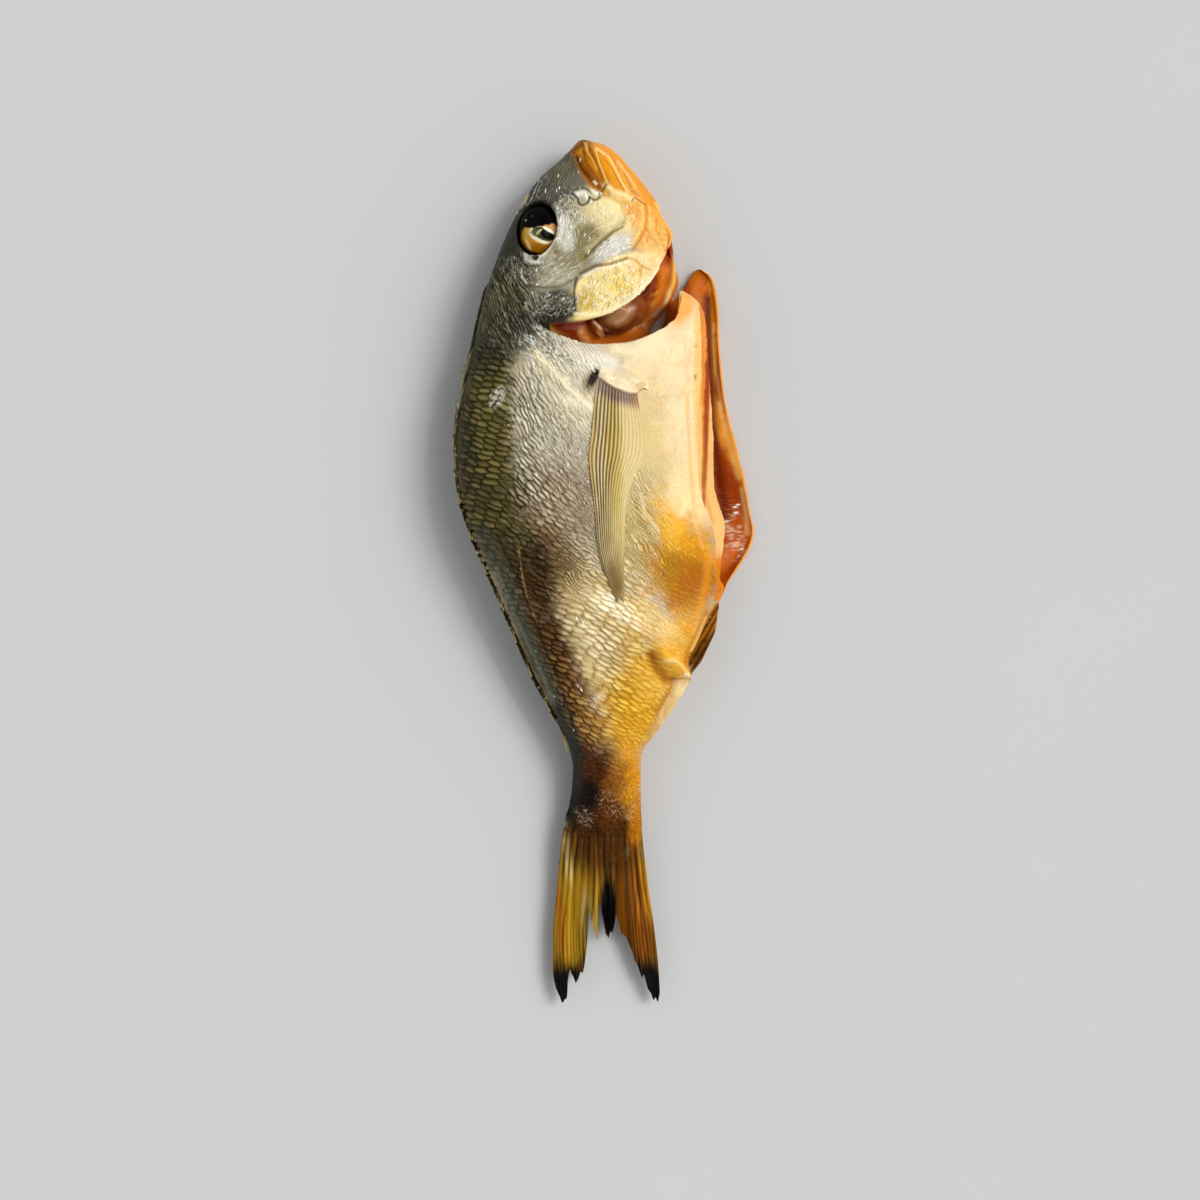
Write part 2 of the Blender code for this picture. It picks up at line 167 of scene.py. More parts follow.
def pillows(a: Array, b: Array, seed: int, jitter: float, lap: float) -> Cells:
    """Puffy scales in staggered columns, one unit apart both ways.

    A point belongs to the scale whose centre is nearest, and its height grows with how much nearer that is
    than the next, which leaves a crack between neighbours. One side of each stands higher by lap.

    Args:
        a: place across the columns.
        b: place along the fish, growing to the front.
        seed: picks the pattern.
        jitter: how far a centre strays.
        lap: how much the higher side of a scale stands above the other.

    Returns:
        The height, the crack's painted shade, heaviest on each scale's hind side, a random tone for each
        scale, and the almond shape of its crown, where painted highlight goes.
    """
    i0 = np.floor(a)
    first, second = np.full(a.shape, 9.0), np.full(a.shape, 9.0)
    tone, across, along = np.zeros(a.shape), np.zeros(a.shape), np.zeros(a.shape)
    for di in (-1, 0, 1):
        i = i0 + di
        stagger = 0.5 * np.mod(i, 2)
        j0 = np.floor(b - stagger)
        for dj in (-1, 0, 1):
            j = j0 + dj
            da = a - (i + 0.5 + jitter * (hashed(i, j, seed) - 0.5))
            db = b - (j + 0.5 + stagger + jitter * (hashed(i, j, seed + 1) - 0.5))
            d = np.sqrt(da * da * 0.62 + db * db)
            closer = d < first
            second = np.where(closer, first, np.minimum(second, d))
            tone = np.where(closer, hashed(i, j, seed + 2), tone)
            across = np.where(closer, da, across)
            along = np.where(closer, db, along)
            first = np.where(closer, d, first)
    part = second - first
    hind = 1 - ramp(-0.35, 0.25, along + across * 0.3)
    dome = ramp(0.0, 0.5, part) * mix(1 - lap, 1.0, hind)
    crown = 0.46 * np.clip(1 - (across / 0.66) ** 2, 0.05, 1)
    lens = 1 - ramp(0.25, 1.0, np.abs(along) / crown)
    # The crack's darkness is painted shade, strongest on the hind side of each scale.
    return Cells(dome, (1 - ramp(0.02, 0.34, part)) * (0.12 + 0.88 * hind), tone, lens)


def strands(u: Array, v: Array, seed: int) -> Cells:
    """Strands that lie side by side like wood grain, sway together and break at random.

    Args:
        u: place along them, in strand lengths.
        v: place across them, in strand widths.
        seed: picks the pattern.

    Returns:
        The height, the crack's painted shade, heavier on one side of each strand, a random tone for each
        strand, and its crown.
    """
    sway = 1.5 * layered(u * 0.7, v * 0.2, 2, seed) + 0.45 * layered(u * 2.1, v * 0.7, 2, seed + 1)
    row = np.floor(v + sway)
    side = v + sway - row
    place = u * 1.1 + 5 * hashed(row, row * 0, seed + 2) + 0.3 * noise(u * 2, v * 0.6, seed + 3)
    part = np.floor(place)
    end = place - part
    tone = hashed(row, part, seed + 4)
    body = ramp(0.0, 0.55, side) * ramp(0.0, 0.30, 1 - side)
    tip = ramp(0.0, 0.14, end) * ramp(0.0, 0.14, 1 - end)
    dome = body * (0.25 + 0.75 * tip)
    # Painted shade in the crack, wider on the low side of each strand.
    gap = 1 - ramp(0.0, 0.42, side) * ramp(0.0, 0.12, 1 - side) * (0.5 + 0.5 * ramp(0.0, 0.08, end))
    return Cells(dome, gap * (0.55 + 0.45 * tone), tone, dome)


# --- Paint ------------------------------------------------------------------------------------------

PLAN_MIDDLE = -9.2


def on_plan(x: Array, y: Array, scale: float) -> tuple[Array, Array]:
    """Where a place on the body lies on the painter's plan, on which the body is smaller by scale."""
    return x / scale, (y - PLAN_MIDDLE) / scale + PLAN_MIDDLE


def off_plan(x: Array, y: Array, scale: float) -> tuple[Array, Array]:
    """Where a place on the painter's plan lies on the body."""
    return x * scale, (y - PLAN_MIDDLE) * scale + PLAN_MIDDLE


def shade(red: int, green: int, blue: int) -> Array:
    """A colour in linear light from its everyday 0 to 255 values."""
    c = np.array([red, green, blue]) / 255
    return np.where(c > 0.04045, ((c + 0.055) / 1.055) ** 2.4, c / 12.92)


def laid(colour: Array, over: tuple[int, int, int], share: Array) -> Array:
    """Colours with another laid over them, at a share for each point."""
    return colour * (1 - share[..., None]) + shade(*over) * share[..., None]


@dataclass(frozen=True)
class Oval:
    """An oval place on the skin, the base of all that is laid out there.

    (x, y) is its middle, long and wide its half sizes and turn the angle of its long side from +X.
    """

    x: float
    y: float
    long: float
    wide: float
    turn: float

    def away(self, x: Array, y: Array) -> Array:
        """How far each point lies from the middle: 1 on the rim."""
        a, b = turned(x - self.x, y - self.y, self.turn)
        return np.sqrt((a / self.long) ** 2 + (b / self.wide) ** 2)

    def within(self, x: Array, y: Array, grain: Array, soft: float, ragged: float) -> Array:
        """1 inside and 0 outside, with a smooth fall over a soft rim that noise makes ragged."""
        return 1 - ramp(1 - soft, 1 + soft, self.away(x, y) + grain * ragged)


@dataclass(frozen=True)
class Tint(Oval):
    """An oval of colour on the skin, strongest in its middle and fading out over its rim.

    soft is the share of its size that the fade takes, and ragged how much noise eats its rim.
    """

    colour: tuple[int, int, int]
    strength: float = 1.0
    soft: float = 0.5
    ragged: float = 0.25

    def mask(self, x: Array, y: Array, grain: Array) -> Array:
        """How strongly it covers each point."""
        return self.strength * self.within(x, y, grain, self.soft, self.ragged)


@dataclass(frozen=True)
class Line:
    """A crease or a ridge along a path on the skin.

    points are (x, y) places, width is half its width, depth is how deep it is cut, or how high it stands
    if below zero, and colour is what it leaves along its middle: on many, painted shade in a crease or
    painted highlight along a ridge, on others the skin's own marks.
    """

    points: list[Key]
    width: float
    depth: float
    colour: tuple[int, int, int] | None = None
    strength: float = 0.7

    def near(self, x: Array, y: Array) -> Array:
        """1 on the path and 0 beyond it: the bell curve of the distance to its nearest stretch."""
        points = np.array(self.points, float)
        best = np.full(x.shape, 1e9)
        for (x0, y0), (x1, y1) in zip(points, points[1:]):
            dx, dy = x1 - x0, y1 - y0
            t = np.clip(((x - x0) * dx + (y - y0) * dy) / (dx * dx + dy * dy), 0, 1)
            best = np.minimum(best, (x - x0 - t * dx) ** 2 + (y - y0 - t * dy) ** 2)
        return np.exp(-best / (self.width**2))


@dataclass(frozen=True)
class Pit(Oval):
    """An oval hollow pressed straight down into the skin, with a raised rim.

    depth is how far its floor lies below the skin, wall how wide its side is and rim how high its edge
    stands.
    """

    depth: float
    wall: float = 0.9
    rim: float = 0.3

    def shift(self, x: Array, y: Array) -> Array:
        """How far each point moves up: down inside, and up along the rim by a bell curve."""
        beyond = (self.away(x, y) - 1) * self.wide
        return self.rim * bell(beyond, 0.7, 0.8) - self.depth * (1 - ramp(-self.wall, 0, beyond))


@dataclass(frozen=True)
class Wrinkles(Oval):
    """Thin curly ridges over an oval stretch: the places where stretched noise crosses zero.

    pitch is their spacing, stretch how much longer than wide they run, lean their direction, height how
    high they stand, colour what lies on them and thin how narrow they are.
    """

    pitch: float
    stretch: float
    lean: float
    height: float
    colour: tuple[int, int, int]
    strength: float
    seed: int
    thin: float = 0.16

    def lay(self, x: Array, y: Array, grain: Array) -> tuple[Array, Array]:
        """The ridges' height and how strongly they are coloured, at each point."""
        a, b = turned(x, y, self.lean)
        value = layered(a / (self.pitch * self.stretch), b / self.pitch, 3, self.seed)
        ridge = bell(value, 0, self.thin) * self.within(x, y, grain, 0.35, 0.3)
        return ridge * self.height, ridge * self.strength


@dataclass(frozen=True)
class Sparkles(Oval):
    """Painted highlights: small white specks like wet glints over an oval stretch; share is how many of the
    cells carry one.
    """

    pitch: float
    share: float
    seed: int
    colour: tuple[int, int, int] = (250, 248, 238)

    def mask(self, x: Array, y: Array, grain: Array) -> Array:
        """1 on a speck and 0 beside it."""
        a, b = turned(x, y, self.turn + 25)
        cells = pillows(a / (2.2 * self.pitch), b / (0.75 * self.pitch), self.seed, 0.9, 0.0)
        chosen = cells.tone > 1 - self.share * np.clip(self.within(x, y, grain, 0.4, 0.3), 0, 1)
        uneven = 0.5 * layered(x / 0.5, y / 0.5, 2, self.seed + 1)
        return ramp(0.60, 0.95, cells.height + uneven) * chosen


def painted(base: Array, tints: list[Tint], x: Array, y: Array, grain: Array) -> Array:
    """Lay tints over a base colour, one after the other.

    Args:
        base: the first colour, one or one for each point.
        tints: the tints, lowest first.
        x: places across the fish.
        y: places along it.
        grain: noise that makes the rims uneven.

    Returns:
        A colour for each point.
    """
    colour = np.broadcast_to(base, (*x.shape, 3)).copy()
    for tint in tints:
        colour = laid(colour, tint.colour, tint.mask(x, y, grain))
    return colour


def creased(
    height: Array, colour: Array, lines: list[Line], x: Array, y: Array
) -> tuple[Array, Array]:
    """Cut creases and raise ridges on a skin, and colour them.

    Args:
        height: relief so far.
        colour: colours so far.
        lines: the creases and ridges.
        x: places across the fish.
        y: places along it.

    Returns:
        The new relief and colours.
    """
    for line in lines:
        near = line.near(x, y)
        height = height - line.depth * near
        if line.colour is not None:
            colour = laid(colour, line.colour, near * line.strength)
    return height, colour


def placed(name: str, data: bpy.types.ID) -> bpy.types.Object:
    """A new object in the scene."""
    obj = bpy.data.objects.new(name, data)
    bpy.context.scene.collection.objects.link(obj)
    return obj


def set_inputs(node: bpy.types.Node, values: dict[str, object]) -> None:
    """Set a node's inputs by their names."""
    for name, value in values.items():
        node.inputs[name].default_value = value


# --- Meshes -----------------------------------------------------------------------------------------


@dataclass
class Surface:
    """Points with the faces between them, a colour and a gloss for each point."""

    points: Array
    quads: Array
    tris: Array
    colour: Array
    rough: Array
    sharp: Array = field(default_factory=lambda: np.zeros((0, 2), int))

    def build(self, name: str, material: bpy.types.Material) -> bpy.types.Object:
        """Make the mesh object, smooth shaded, with the colours and gloss as attributes.

        Args:
            name: the piece's name.
            material: its finish.

        Returns:
            The new object.
        """
        mesh = bpy.data.meshes.new(name)
        quads, tris = self._facing_out()
        loops = np.concatenate([quads.ravel(), tris.ravel()]).astype(np.int32)
        totals = np.concatenate([np.full(len(quads), 4), np.full(len(tris), 3)]).astype(np.int32)
        starts = np.concatenate([[0], np.cumsum(totals)[:-1]]).astype(np.int32)
        points = self.points.reshape(-1, 3) * MM
        mesh.vertices.add(len(points))
        mesh.vertices.foreach_set("co", points.astype(np.float32).ravel())
        mesh.loops.add(len(loops))
        mesh.loops.foreach_set("vertex_index", loops)
        mesh.polygons.add(len(totals))
        mesh.polygons.foreach_set("loop_start", starts)
        mesh.polygons.foreach_set("loop_total", totals)
        mesh.update(calc_edges=True)
        mesh.validate()
        mesh.shade_smooth()
        self._sharpen(mesh)
        rgba = np.ones((len(points), 4), np.float32)
        rgba[:, :3] = self.colour.reshape(-1, 3)
        tone = mesh.color_attributes.new("tone", "FLOAT_COLOR", "POINT")
        tone.data.foreach_set("color", rgba.ravel())
        gloss = mesh.attributes.new("rough", "FLOAT", "POINT")
        gloss.data.foreach_set("value", self.rough.ravel().astype(np.float32))
        mesh.materials.append(material)
        return placed(name, mesh)

    def _facing_out(self) -> tuple[Array, Array]:
        """Turn every face outward: the signed volume under all of them has to be above zero.

        Returns:
            The quads and the triangles.
        """
        points = self.points.reshape(-1, 3)
        quads, tris = self.quads.reshape(-1, 4), self.tris.reshape(-1, 3)
        halves = np.vstack([quads[:, [0, 1, 2]], quads[:, [0, 2, 3]], tris])
        a, b, c = points[halves[:, 0]], points[halves[:, 1]], points[halves[:, 2]]
        if np.einsum("ij,ij->", a, np.cross(b, c)) < 0:
            return quads[:, ::-1], tris[:, ::-1]
        return quads, tris

    def _sharpen(self, mesh: bpy.types.Mesh) -> None:
        """Mark the listed edges sharp, so that a closing face doesn't bend the skin's shading."""
        if not len(self.sharp):
            return
        edges = np.zeros(len(mesh.edges) * 2, np.int32)
        mesh.edges.foreach_get("vertices", edges)
        edges = np.sort(edges.reshape(-1, 2), axis=1).astype(np.int64)
        wanted = np.sort(self.sharp, axis=1).astype(np.int64)
        key = edges[:, 0] * len(mesh.vertices) + edges[:, 1]
        mark = np.isin(key, wanted[:, 0] * len(mesh.vertices) + wanted[:, 1])
        flag = mesh.attributes.new("sharp_edge", "BOOLEAN", "EDGE")
        flag.data.foreach_set("value", mark)


def grid_faces(rows: int, columns: int, around: bool) -> Array:
    """Quads between neighbouring points of a grid, which may close on itself across its columns."""
    i = np.arange(rows - 1)[:, None]
    j = np.arange(columns if around else columns - 1)[None, :]
    k = (j + 1) % columns
    quads = [i * columns + j, i * columns + k, (i + 1) * columns + k, (i + 1) * columns + j]
    return np.stack([np.broadcast_to(q, (rows - 1, j.size)) for q in quads], -1).reshape(-1, 4)


def closed_tube(points: Array, colour: Array, rough: Array) -> Surface:
    """A closed surface from a grid whose columns run round it.

    Args:
        points: the grid, rows by columns.
        colour: a colour for each point.
        rough: a roughness for each point.

    Returns:
        The surface, with a fan of triangles over the first row and over the last.
    """
    rows, columns = points.shape[:2]
    fan = np.arange(1, columns - 1)
    first = np.column_stack([np.zeros_like(fan), fan + 1, fan])
    last = np.column_stack([np.zeros_like(fan), fan, fan + 1]) + (rows - 1) * columns
    return Surface(points, grid_faces(rows, columns, True), np.vstack([first, last]), colour, rough)


# --- The body's shape -------------------------------------------------------------------------------

RIDGE_RADIUS = 0.5
SHOULDER_Y = 99.0
SNOUT_Y, NAPE_Y, CHIN_Y = 150.0, 87.0, 115.0
VENT_Y = -9.5
STALK_FRONT_Y, STALK_END_Y = -50.0, -88.0
TAIL_FRONT_Y, TAIL_ROOT_Y, TAIL_END_Y = -79.0, -92.0, -150.0
# How far the far gill cover stands out under the chin, and how far it is drawn in by the belly.
CHIN_BULGE, BELLY_PINCH = 1.8, 3.0

# Outline seen from the flank, as (Y, X) keys.
BACK = [
    (150, -8), (145, -12.5), (136, -22), (124, -29.5), (105, -37.5), (88, -42), (70, -46.2), (46, -49.8),
    (32, -49.3), (15, -45), (-5, -36.5), (-37, -22.5), (-58, -12), (-68, -9.8), (-92, -13.2),
]
JAW = [
    (150, -4), (149.2, -1.2), (146.3, 3.6), (141, 8.4), (131, 16.5), (120.4, 22.4), (117.5, 24),
    (114.5, 23.4),
]
KEEL = [(-20, 34.6), (-38, 25.8), (-59, 14), (-66, 12.2), (-78, 12.6), (-92, 14)]
NEAR_FLAP = [
    (99, 28), (96, 32.5), (92.5, 34.6), (88, 35.6), (74, 36.3), (52, 38), (30, 38.6), (16, 42.3), (6, 41.2),
    (-9.6, 39.6), *KEEL,
]
FAR_FLAP = [
    (99, 34.8), (97, 37.6), (91, 39.6), (74, 40.8), (58, 42.8), (36, 48.8), (21, 51.6), (15.3, 52.7),
    (10, 51.6), (-2, 44.4), (-9.6, 39.8), *KEEL,
]
# How much further the cut belly wall reaches than the skin over it, as (Y, reach) keys.
NEAR_CUT_FACE = [(99, 0.1), (92, 1), (70, 2), (52, 5), (22, 5), (9, 2), (-9, 0.5), (-92, 0.5)]
# Front edge of each side of the trunk, as (X, Y) keys.
NEAR_SHOULDER = [
    (-60, 107), (-40, 104), (-19.6, 82.8), (-12, 79.4), (-4, 77.4), (4.7, 77.8), (9, 78.4), (13.4, 79.8),
    (20, 83.2), (24.2, 86.4), (26.4, 90), (27.2, 95), (27.8, 97.8), (60, 97.8),
]
FAR_SHOULDER = [
    (-60, 107), (-40, 104), (-20, 86), (-12, 81), (-4, 78.2), (8, 78.4), (14, 79.4), (20, 81.5),
    (22.2, 85.5), (23.6, 90), (25.4, 96.2), (27.5, 98), (34.6, 106.5), (60, 106.5),
]
# Heights along the fish, as (Y, Z) keys.
RIDGE_HEIGHT = [(150, 13), (117, 15.5), (88, 17), (20, 17), (-26, 14), (-65, 10.5), (-92, 7.5)]
NEAR_EDGE_HEIGHT = [(150, 12), (117, 12), (95, 11), (15, 10), (-8, 9), (-65, 9.5), (-92, 7.5)]
FAR_EDGE_HEIGHT = [(150, 12), (117, 9), (100, 3), (12, 2.8), (-8, 9), (-65, 9.5), (-92, 7.5)]
EDGE_RADIUS = [(150, 1.6), (-66, 1.6), (-92, 0.5)]
HALF_THICKNESS = [
    (150, 4.2), (146, 7), (137, 10.5), (124, 13.2), (105, 15.8), (88, 17.5), (57, 18.5), (36, 18.3), (15, 17),
    (-6, 14.8), (-26, 12), (-47, 9), (-65, 6.5), (-79, 4.0), (-92, 0.8),
]


def belly_side(y: Array) -> Array:
    """X of the belly side of the upper flank: the jaw in front, then the flap and the keel."""
    throat = 23.4 + (112 - y) / 13 * 4.6
    return np.where(y > 112, curve(JAW, y), np.where(y > 99, throat, curve(NEAR_FLAP, y)))


def upper_height(x: Array, y: Array) -> Array:
    """Height of the upper flank: the middle of its edges and a bulge, q**0.5 * (1 - q)**0.75."""
    back = curve(BACK, y)
    q = np.clip((x - back) / (belly_side(y) - back), 0, 1)
    middle = mix(curve(RIDGE_HEIGHT, y), curve(NEAR_EDGE_HEIGHT, y) + curve(EDGE_RADIUS, y), q)
    return middle + curve(HALF_THICKNESS, y) * swell(q, 0.5, 0.75)


def lower_height(q: Array, y: Array, rim: Array) -> Array:
    """Height of the lower flank: a bulge downwards, which levels off where it lies on the table."""
    middle = mix(curve(RIDGE_HEIGHT, y), rim - curve(EDGE_RADIUS, y), q)
    z = middle - curve(HALF_THICKNESS, y) * swell(q, 0.5, 0.6)
    return 0.5 * (z + np.sqrt(z * z + 2.0)) * ramp(-3, 3, z)


@dataclass(frozen=True)
class TrunkSides:
    """Where the two sides of the trunk run, with one row for each station along it."""

    station: Array

    def back(self) -> Array:
        """X of the back."""
        return curve(BACK, self.station) + 1.5 * ramp(92, 99, self.station)

    def place(self, q: Array, flap: list[Key], shoulder: list[Key]) -> tuple[Array, Array]:
        """(X, Y) at a share q across, bent forward to follow the shoulder's front edge."""
        x = mix(self.back(), curve(flap, self.station), q)
        share = np.clip(1 - (SHOULDER_Y - self.station) / 60, 0, 1)
        return x, self.station + (curve(shoulder, x) - SHOULDER_Y) * share

    def near(self, q: Array) -> tuple[Array, Array]:
        """(X, Y) on the upper side."""
        return self.place(q, NEAR_FLAP, NEAR_SHOULDER)

    def far(self, q: Array) -> tuple[Array, Array]:
        """(X, Y) on the lower side."""
        return self.place(q, FAR_FLAP, FAR_SHOULDER)

    def dip(self, x: Array, y: Array) -> Array:
        """How deep the front of the back sinks into the head, so that no step shows."""
        return 3.5 * ramp(97, 106, y) * ramp(0, 3, x - self.back()) * (1 - ramp(-30, -18, x))

    def upper(self, q: Array) -> Array:
        """Height of the upper skin."""
        x, y = self.near(q)
        return upper_height(x, y) - self.dip(x, y)

    def lower(self, q: Array) -> Array:
        """Height of the lower skin."""
        x, y = self.far(q)
        return lower_height(np.clip(q, 0, 1), y, curve(FAR_EDGE_HEIGHT, self.station)) + self.dip(x, y)

    def skin_share(self) -> Array:
        """How far across the upper skin reaches before the cut."""
        return 1 - curve(NEAR_CUT_FACE, self.station) / (curve(NEAR_FLAP, self.station) - self.back())

    def under_share(self, q: Array) -> Array:
        """Shares for the lower skin: in line with the upper skin, and stretched beyond it."""
        ratio = (curve(NEAR_FLAP, self.station) - self.back()) / (curve(FAR_FLAP, self.station) - self.back())
        return q * ratio + q**8 * (1 - ratio)


@dataclass(frozen=True)
class HeadSides:
    """Where the two sides of the head run, with one row for each share u from the snout to the covers."""

    u: Array

    def ends(self) -> tuple[Array, Array, Array, Array]:
        """(X, Y) on the back and (X, Y) on the jaw."""
        back_y = mix(SNOUT_Y, NAPE_Y, self.u)
        jaw_y = mix(SNOUT_Y, CHIN_Y, self.u)
        return curve(BACK, back_y) + 1.5 * ramp(0.84, 1.0, self.u), back_y, curve(JAW, jaw_y), jaw_y

    def place(self, q: Array, powers: Key, sweep: Key) -> tuple[Array, Array]:
        """(X, Y) at a share q across, swept towards the tail by a bulge of its own."""
        x0, y0, x1, y1 = self.ends()
        reach = swell(q, *powers) * ramp(0.35, 1.0, self.u) ** 1.5
        return mix(x0, x1, q) + reach * sweep[0], mix(y0, y1, q) + reach * sweep[1]

    def near(self, q: Array) -> tuple[Array, Array]:
        """(X, Y) on the upper side."""
        return self.place(q, (1.5, 0.75), (0, -16.2))

    def far(self, q: Array) -> tuple[Array, Array]:
        """(X, Y) on the lower side, which bulges under the chin and is pinched where the belly starts."""
        x, y = self.place(q, (0.95, 0.82), (17.4, -23.2))
        bulge = CHIN_BULGE * bell(y, 102, 5.0) * ramp(0.7, 0.9, q)
        pinch = BELLY_PINCH * bell(y, 87, 5.5) * ramp(0.5, 0.75, q)
        return x + self.parted() * (bulge - pinch), y

    def nape(self, q: Array) -> Array:
        """How deep the nape tucks under the trunk's skin."""
        return 3.5 * ramp(0.84, 1.0, self.u) * ramp(0, 0.03, q) * (1 - ramp(0.12, 0.34, q))

    def parted(self) -> Array:
        """How far the two gill covers stand apart, from 0 to 1."""
        return ramp(0.62, 0.88, self.u)

    def upper(self, q: Array) -> Array:
        """Height of the upper skin, where the gill cover stands proud of the shoulder."""
        return upper_height(*self.near(q)) + 0.8 * self.parted() * ramp(0.3, 0.45, q) - self.nape(q)

    def lower(self, q: Array) -> Array:
        """Height of the lower skin."""
        rim = curve(NEAR_EDGE_HEIGHT, self.ends()[3]) - 6.0 * self.parted()
        return lower_height(np.clip(q, 0, 1), self.far(q)[1], rim) + 0.36 + self.nape(q)

    def skin_share(self) -> Array:
        """The head's skin isn't cut."""
        return np.ones_like(self.u)

    def under_share(self, q: Array) -> Array:
        """Both sides of the head are divided alike."""
        return q


@dataclass(frozen=True)
class Hollow:
    """A hollow between the two sides, open at the belly.

    size is 1 where it is fully open and 0 where it is shut, depth the share across where it ends, and wall
    the least thickness left beside it. deep is what the wall gains at the depth, and rim what it loses at
    the edge.
    """

    size: Array
    depth: Array
    wall: Array
    deep: float
    rim: float

    def sheets(self, side: TrunkSides | HeadSides, s: Array) -> tuple[Array, Array]:
        """Its ceiling and floor, at shares s from the depth at 0 to the mouth at 1.

        The gap between them opens as (s * (2 - s))**0.4, like a rounded groove.

        Args:
            side: the body that it is in.
            s: shares between its depth and its mouth.

        Returns:
            Two grids of points.
        """
        start = mix(self.depth, 1.0, 0.8 * (1 - self.size))
        q = mix(start, 1.0, s)
        inside = self.wall + self.deep * (1 - s) - self.rim * s**6
        ceiling, floor = side.upper(q) - inside, side.lower(q) + inside
        middle = (ceiling + floor) / 2
        round_end = np.clip(s * (2 - s), 0.0008, 1) ** 0.4
        half = np.maximum((ceiling - floor) / 2, 0.3) * round_end * (0.02 + 0.98 * self.size)
        x0, y0 = side.near(q)
        x1, y1 = side.far(q)
        spread = s**0.8
        above = np.stack([x0, y0, middle + half], -1)
        below = np.stack([mix(x0, x1, spread), mix(y0, y1, spread), middle - half], -1)
        return above, below


@dataclass(frozen=True)
class Columns:
    """How many points each stretch of a cross-section has."""

    over: int = 420
    cut: int = 10
    lip: int = 10
    sheet: int = 40
    under: int = 90


@dataclass
class Rings:
    """Cross-sections as rows of points, with the stretch that each column belongs to."""

    points: Array
    spans: dict[str, slice]

    def facing(self, row: Array) -> list[tuple[Array, Array]]:
        """Chains of column numbers that face each other across the walls of one cross-section.

        Where there is a hollow, the first two chains face each other beside it, from its depth to the back,
        and the others are the walls over and under it, each run in step with the hollow's own side.

        Args:
            row: the points of the cross-section.

        Returns:
            Pairs of chains, both of a pair run the same way.
        """
        n = len(row)
        if "ceiling" not in self.spans:
            half = self.spans["keel"].start
            return [(np.arange(half, -1, -1), np.arange(half + 1, n))]
        ceiling, floor = self.spans["ceiling"], self.spans["floor"]
        upper = np.arange(ceiling.start - 1, -1, -1)
        lower = np.arange(n - 1, floor.stop - 1, -1)
        k = int(np.clip(np.abs(row[upper, 0] - row[ceiling.stop - 1, 0]).argmin(), 1, len(upper) - 2))
        m = int(np.clip(np.abs(row[lower, 0] - row[floor.start, 0]).argmin(), 1, len(lower) - 2))
        return [
            (upper[k:], lower[: m + 1][::-1]),
            (upper[: k + 1], np.arange(ceiling.start, ceiling.stop)),
            (lower[m:], np.arange(floor.start, floor.stop)),
        ]


def spread_over(count: int, evenness: float = 0.2) -> Array:
    """Shares from 0 to 1 that crowd towards both ends."""
    t = np.linspace(0, 1, count)
    return mix(t * t * (3 - 2 * t), t, evenness)


def half_round(top: Array, low: Array, angle: Array, bulge: Array) -> Array:
    """Points on a half oval that joins top to low and swells to the belly side, at angles from 0 to pi."""
    top, low, bulge = top[:, None, :], low[:, None, :], np.reshape(bulge, (-1, 1, 1))
    out = np.array([1.0, 0.0, 0.0]) * bulge
    c, s = np.cos(angle)[None, :, None], np.sin(angle)[None, :, None]
    return (top + low) / 2 + (top - low) / 2 * c + out * s


def cross_sections(side: TrunkSides | HeadSides, hollow: Hollow | None, count: Columns) -> Rings:
    """Closed cross-sections of the body, run round from the back over the upper skin.

    With a hollow, each runs on over the cut edge, into the hollow along its ceiling, out along its floor
    and round the lower edge. Where the hollow shuts, both edges flow into one round keel.

    Args:
        side: the sides of the body, with a row for each cross-section.
        hollow: the hollow between the sides, or nothing.
        count: points of each stretch.

    Returns:
        The cross-sections.
    """
    t = spread_over(count.over)[None, :]
    q = t * side.skin_share()
    over = np.stack([*side.near(q), side.upper(q) + RIDGE_RADIUS * (1 - ramp(0, 0.012, q))], -1)
    t = side.under_share(spread_over(count.under)[::-1][None, :])
    under = np.stack([*side.far(t), side.lower(t) - RIDGE_RADIUS * (1 - ramp(0, 0.012, t))], -1)
    one = np.ones((len(over), 1))
    top = np.stack([*side.near(one), side.upper(one)], -1)[:, 0]
    low = under[:, 0]
    keel = np.minimum(1.6, (top[:, 2] - low[:, 2]) / 2)
    steps = np.linspace(0, 1, count.cut + 2)[None, 1:, None] if count.cut else np.zeros((1, 0, 1))
    cut = mix(over[:, -1:], top[:, None], steps)
    pieces = {"over": over}
    if count.cut:
        pieces["cut"] = cut
    if hollow is None:
        angle = np.linspace(0, math.pi, 2 * count.lip + 1)[1:-1]
        pieces["keel"] = half_round(top, low, angle, keel)
    else:
        shut = (1 - ramp(0.0, 0.3, hollow.size)).reshape(-1, 1, 1)
        s = spread_over(count.sheet, 0.5)[None, :]
        ceiling, floor = hollow.sheets(side, s)
        tip = half_round(top, low, np.array([math.pi / 2]), keel)
        ceiling = ceiling + (tip + (0, 0, 0.02) - ceiling[:, -1:]) * shut * s[..., None] ** 2
        floor = floor + (tip - (0, 0, 0.02) - floor[:, -1:]) * shut * s[..., None] ** 2
        angle = np.linspace(0, math.pi, count.lip + 2)[1:-1]
        for name, a, b, turn in (
            ("lip", top, ceiling[:, -1], angle / 2),
            ("rim", floor[:, -1], low, math.pi / 2 + angle / 2),
        ):
            own = half_round(a, b, angle, np.abs(a[:, 2] - b[:, 2]) * 0.25)
            pieces[name] = mix(own, half_round(top, low, turn, keel), shut)
        rim = pieces.pop("rim")
        pieces |= {"ceiling": ceiling[:, ::-1], "floor": floor, "rim": rim}
    pieces["under"] = under
    spans, start = {}, 0
    for name, grid in pieces.items():
        spans[name] = slice(start, start + grid.shape[1])
        start += grid.shape[1]
    return Rings(np.concatenate(list(pieces.values()), axis=1), spans)


def outward(points: Array) -> Array:
    """Unit normals of cross-sections that run from the front back: along x across, closed round."""
    along = np.gradient(points, axis=0)
    across = np.roll(points, -1, axis=1) - np.roll(points, 1, axis=1)
    n = np.cross(along, across)
    return n / np.maximum(np.linalg.norm(n, axis=-1, keepdims=True), 1e-9)


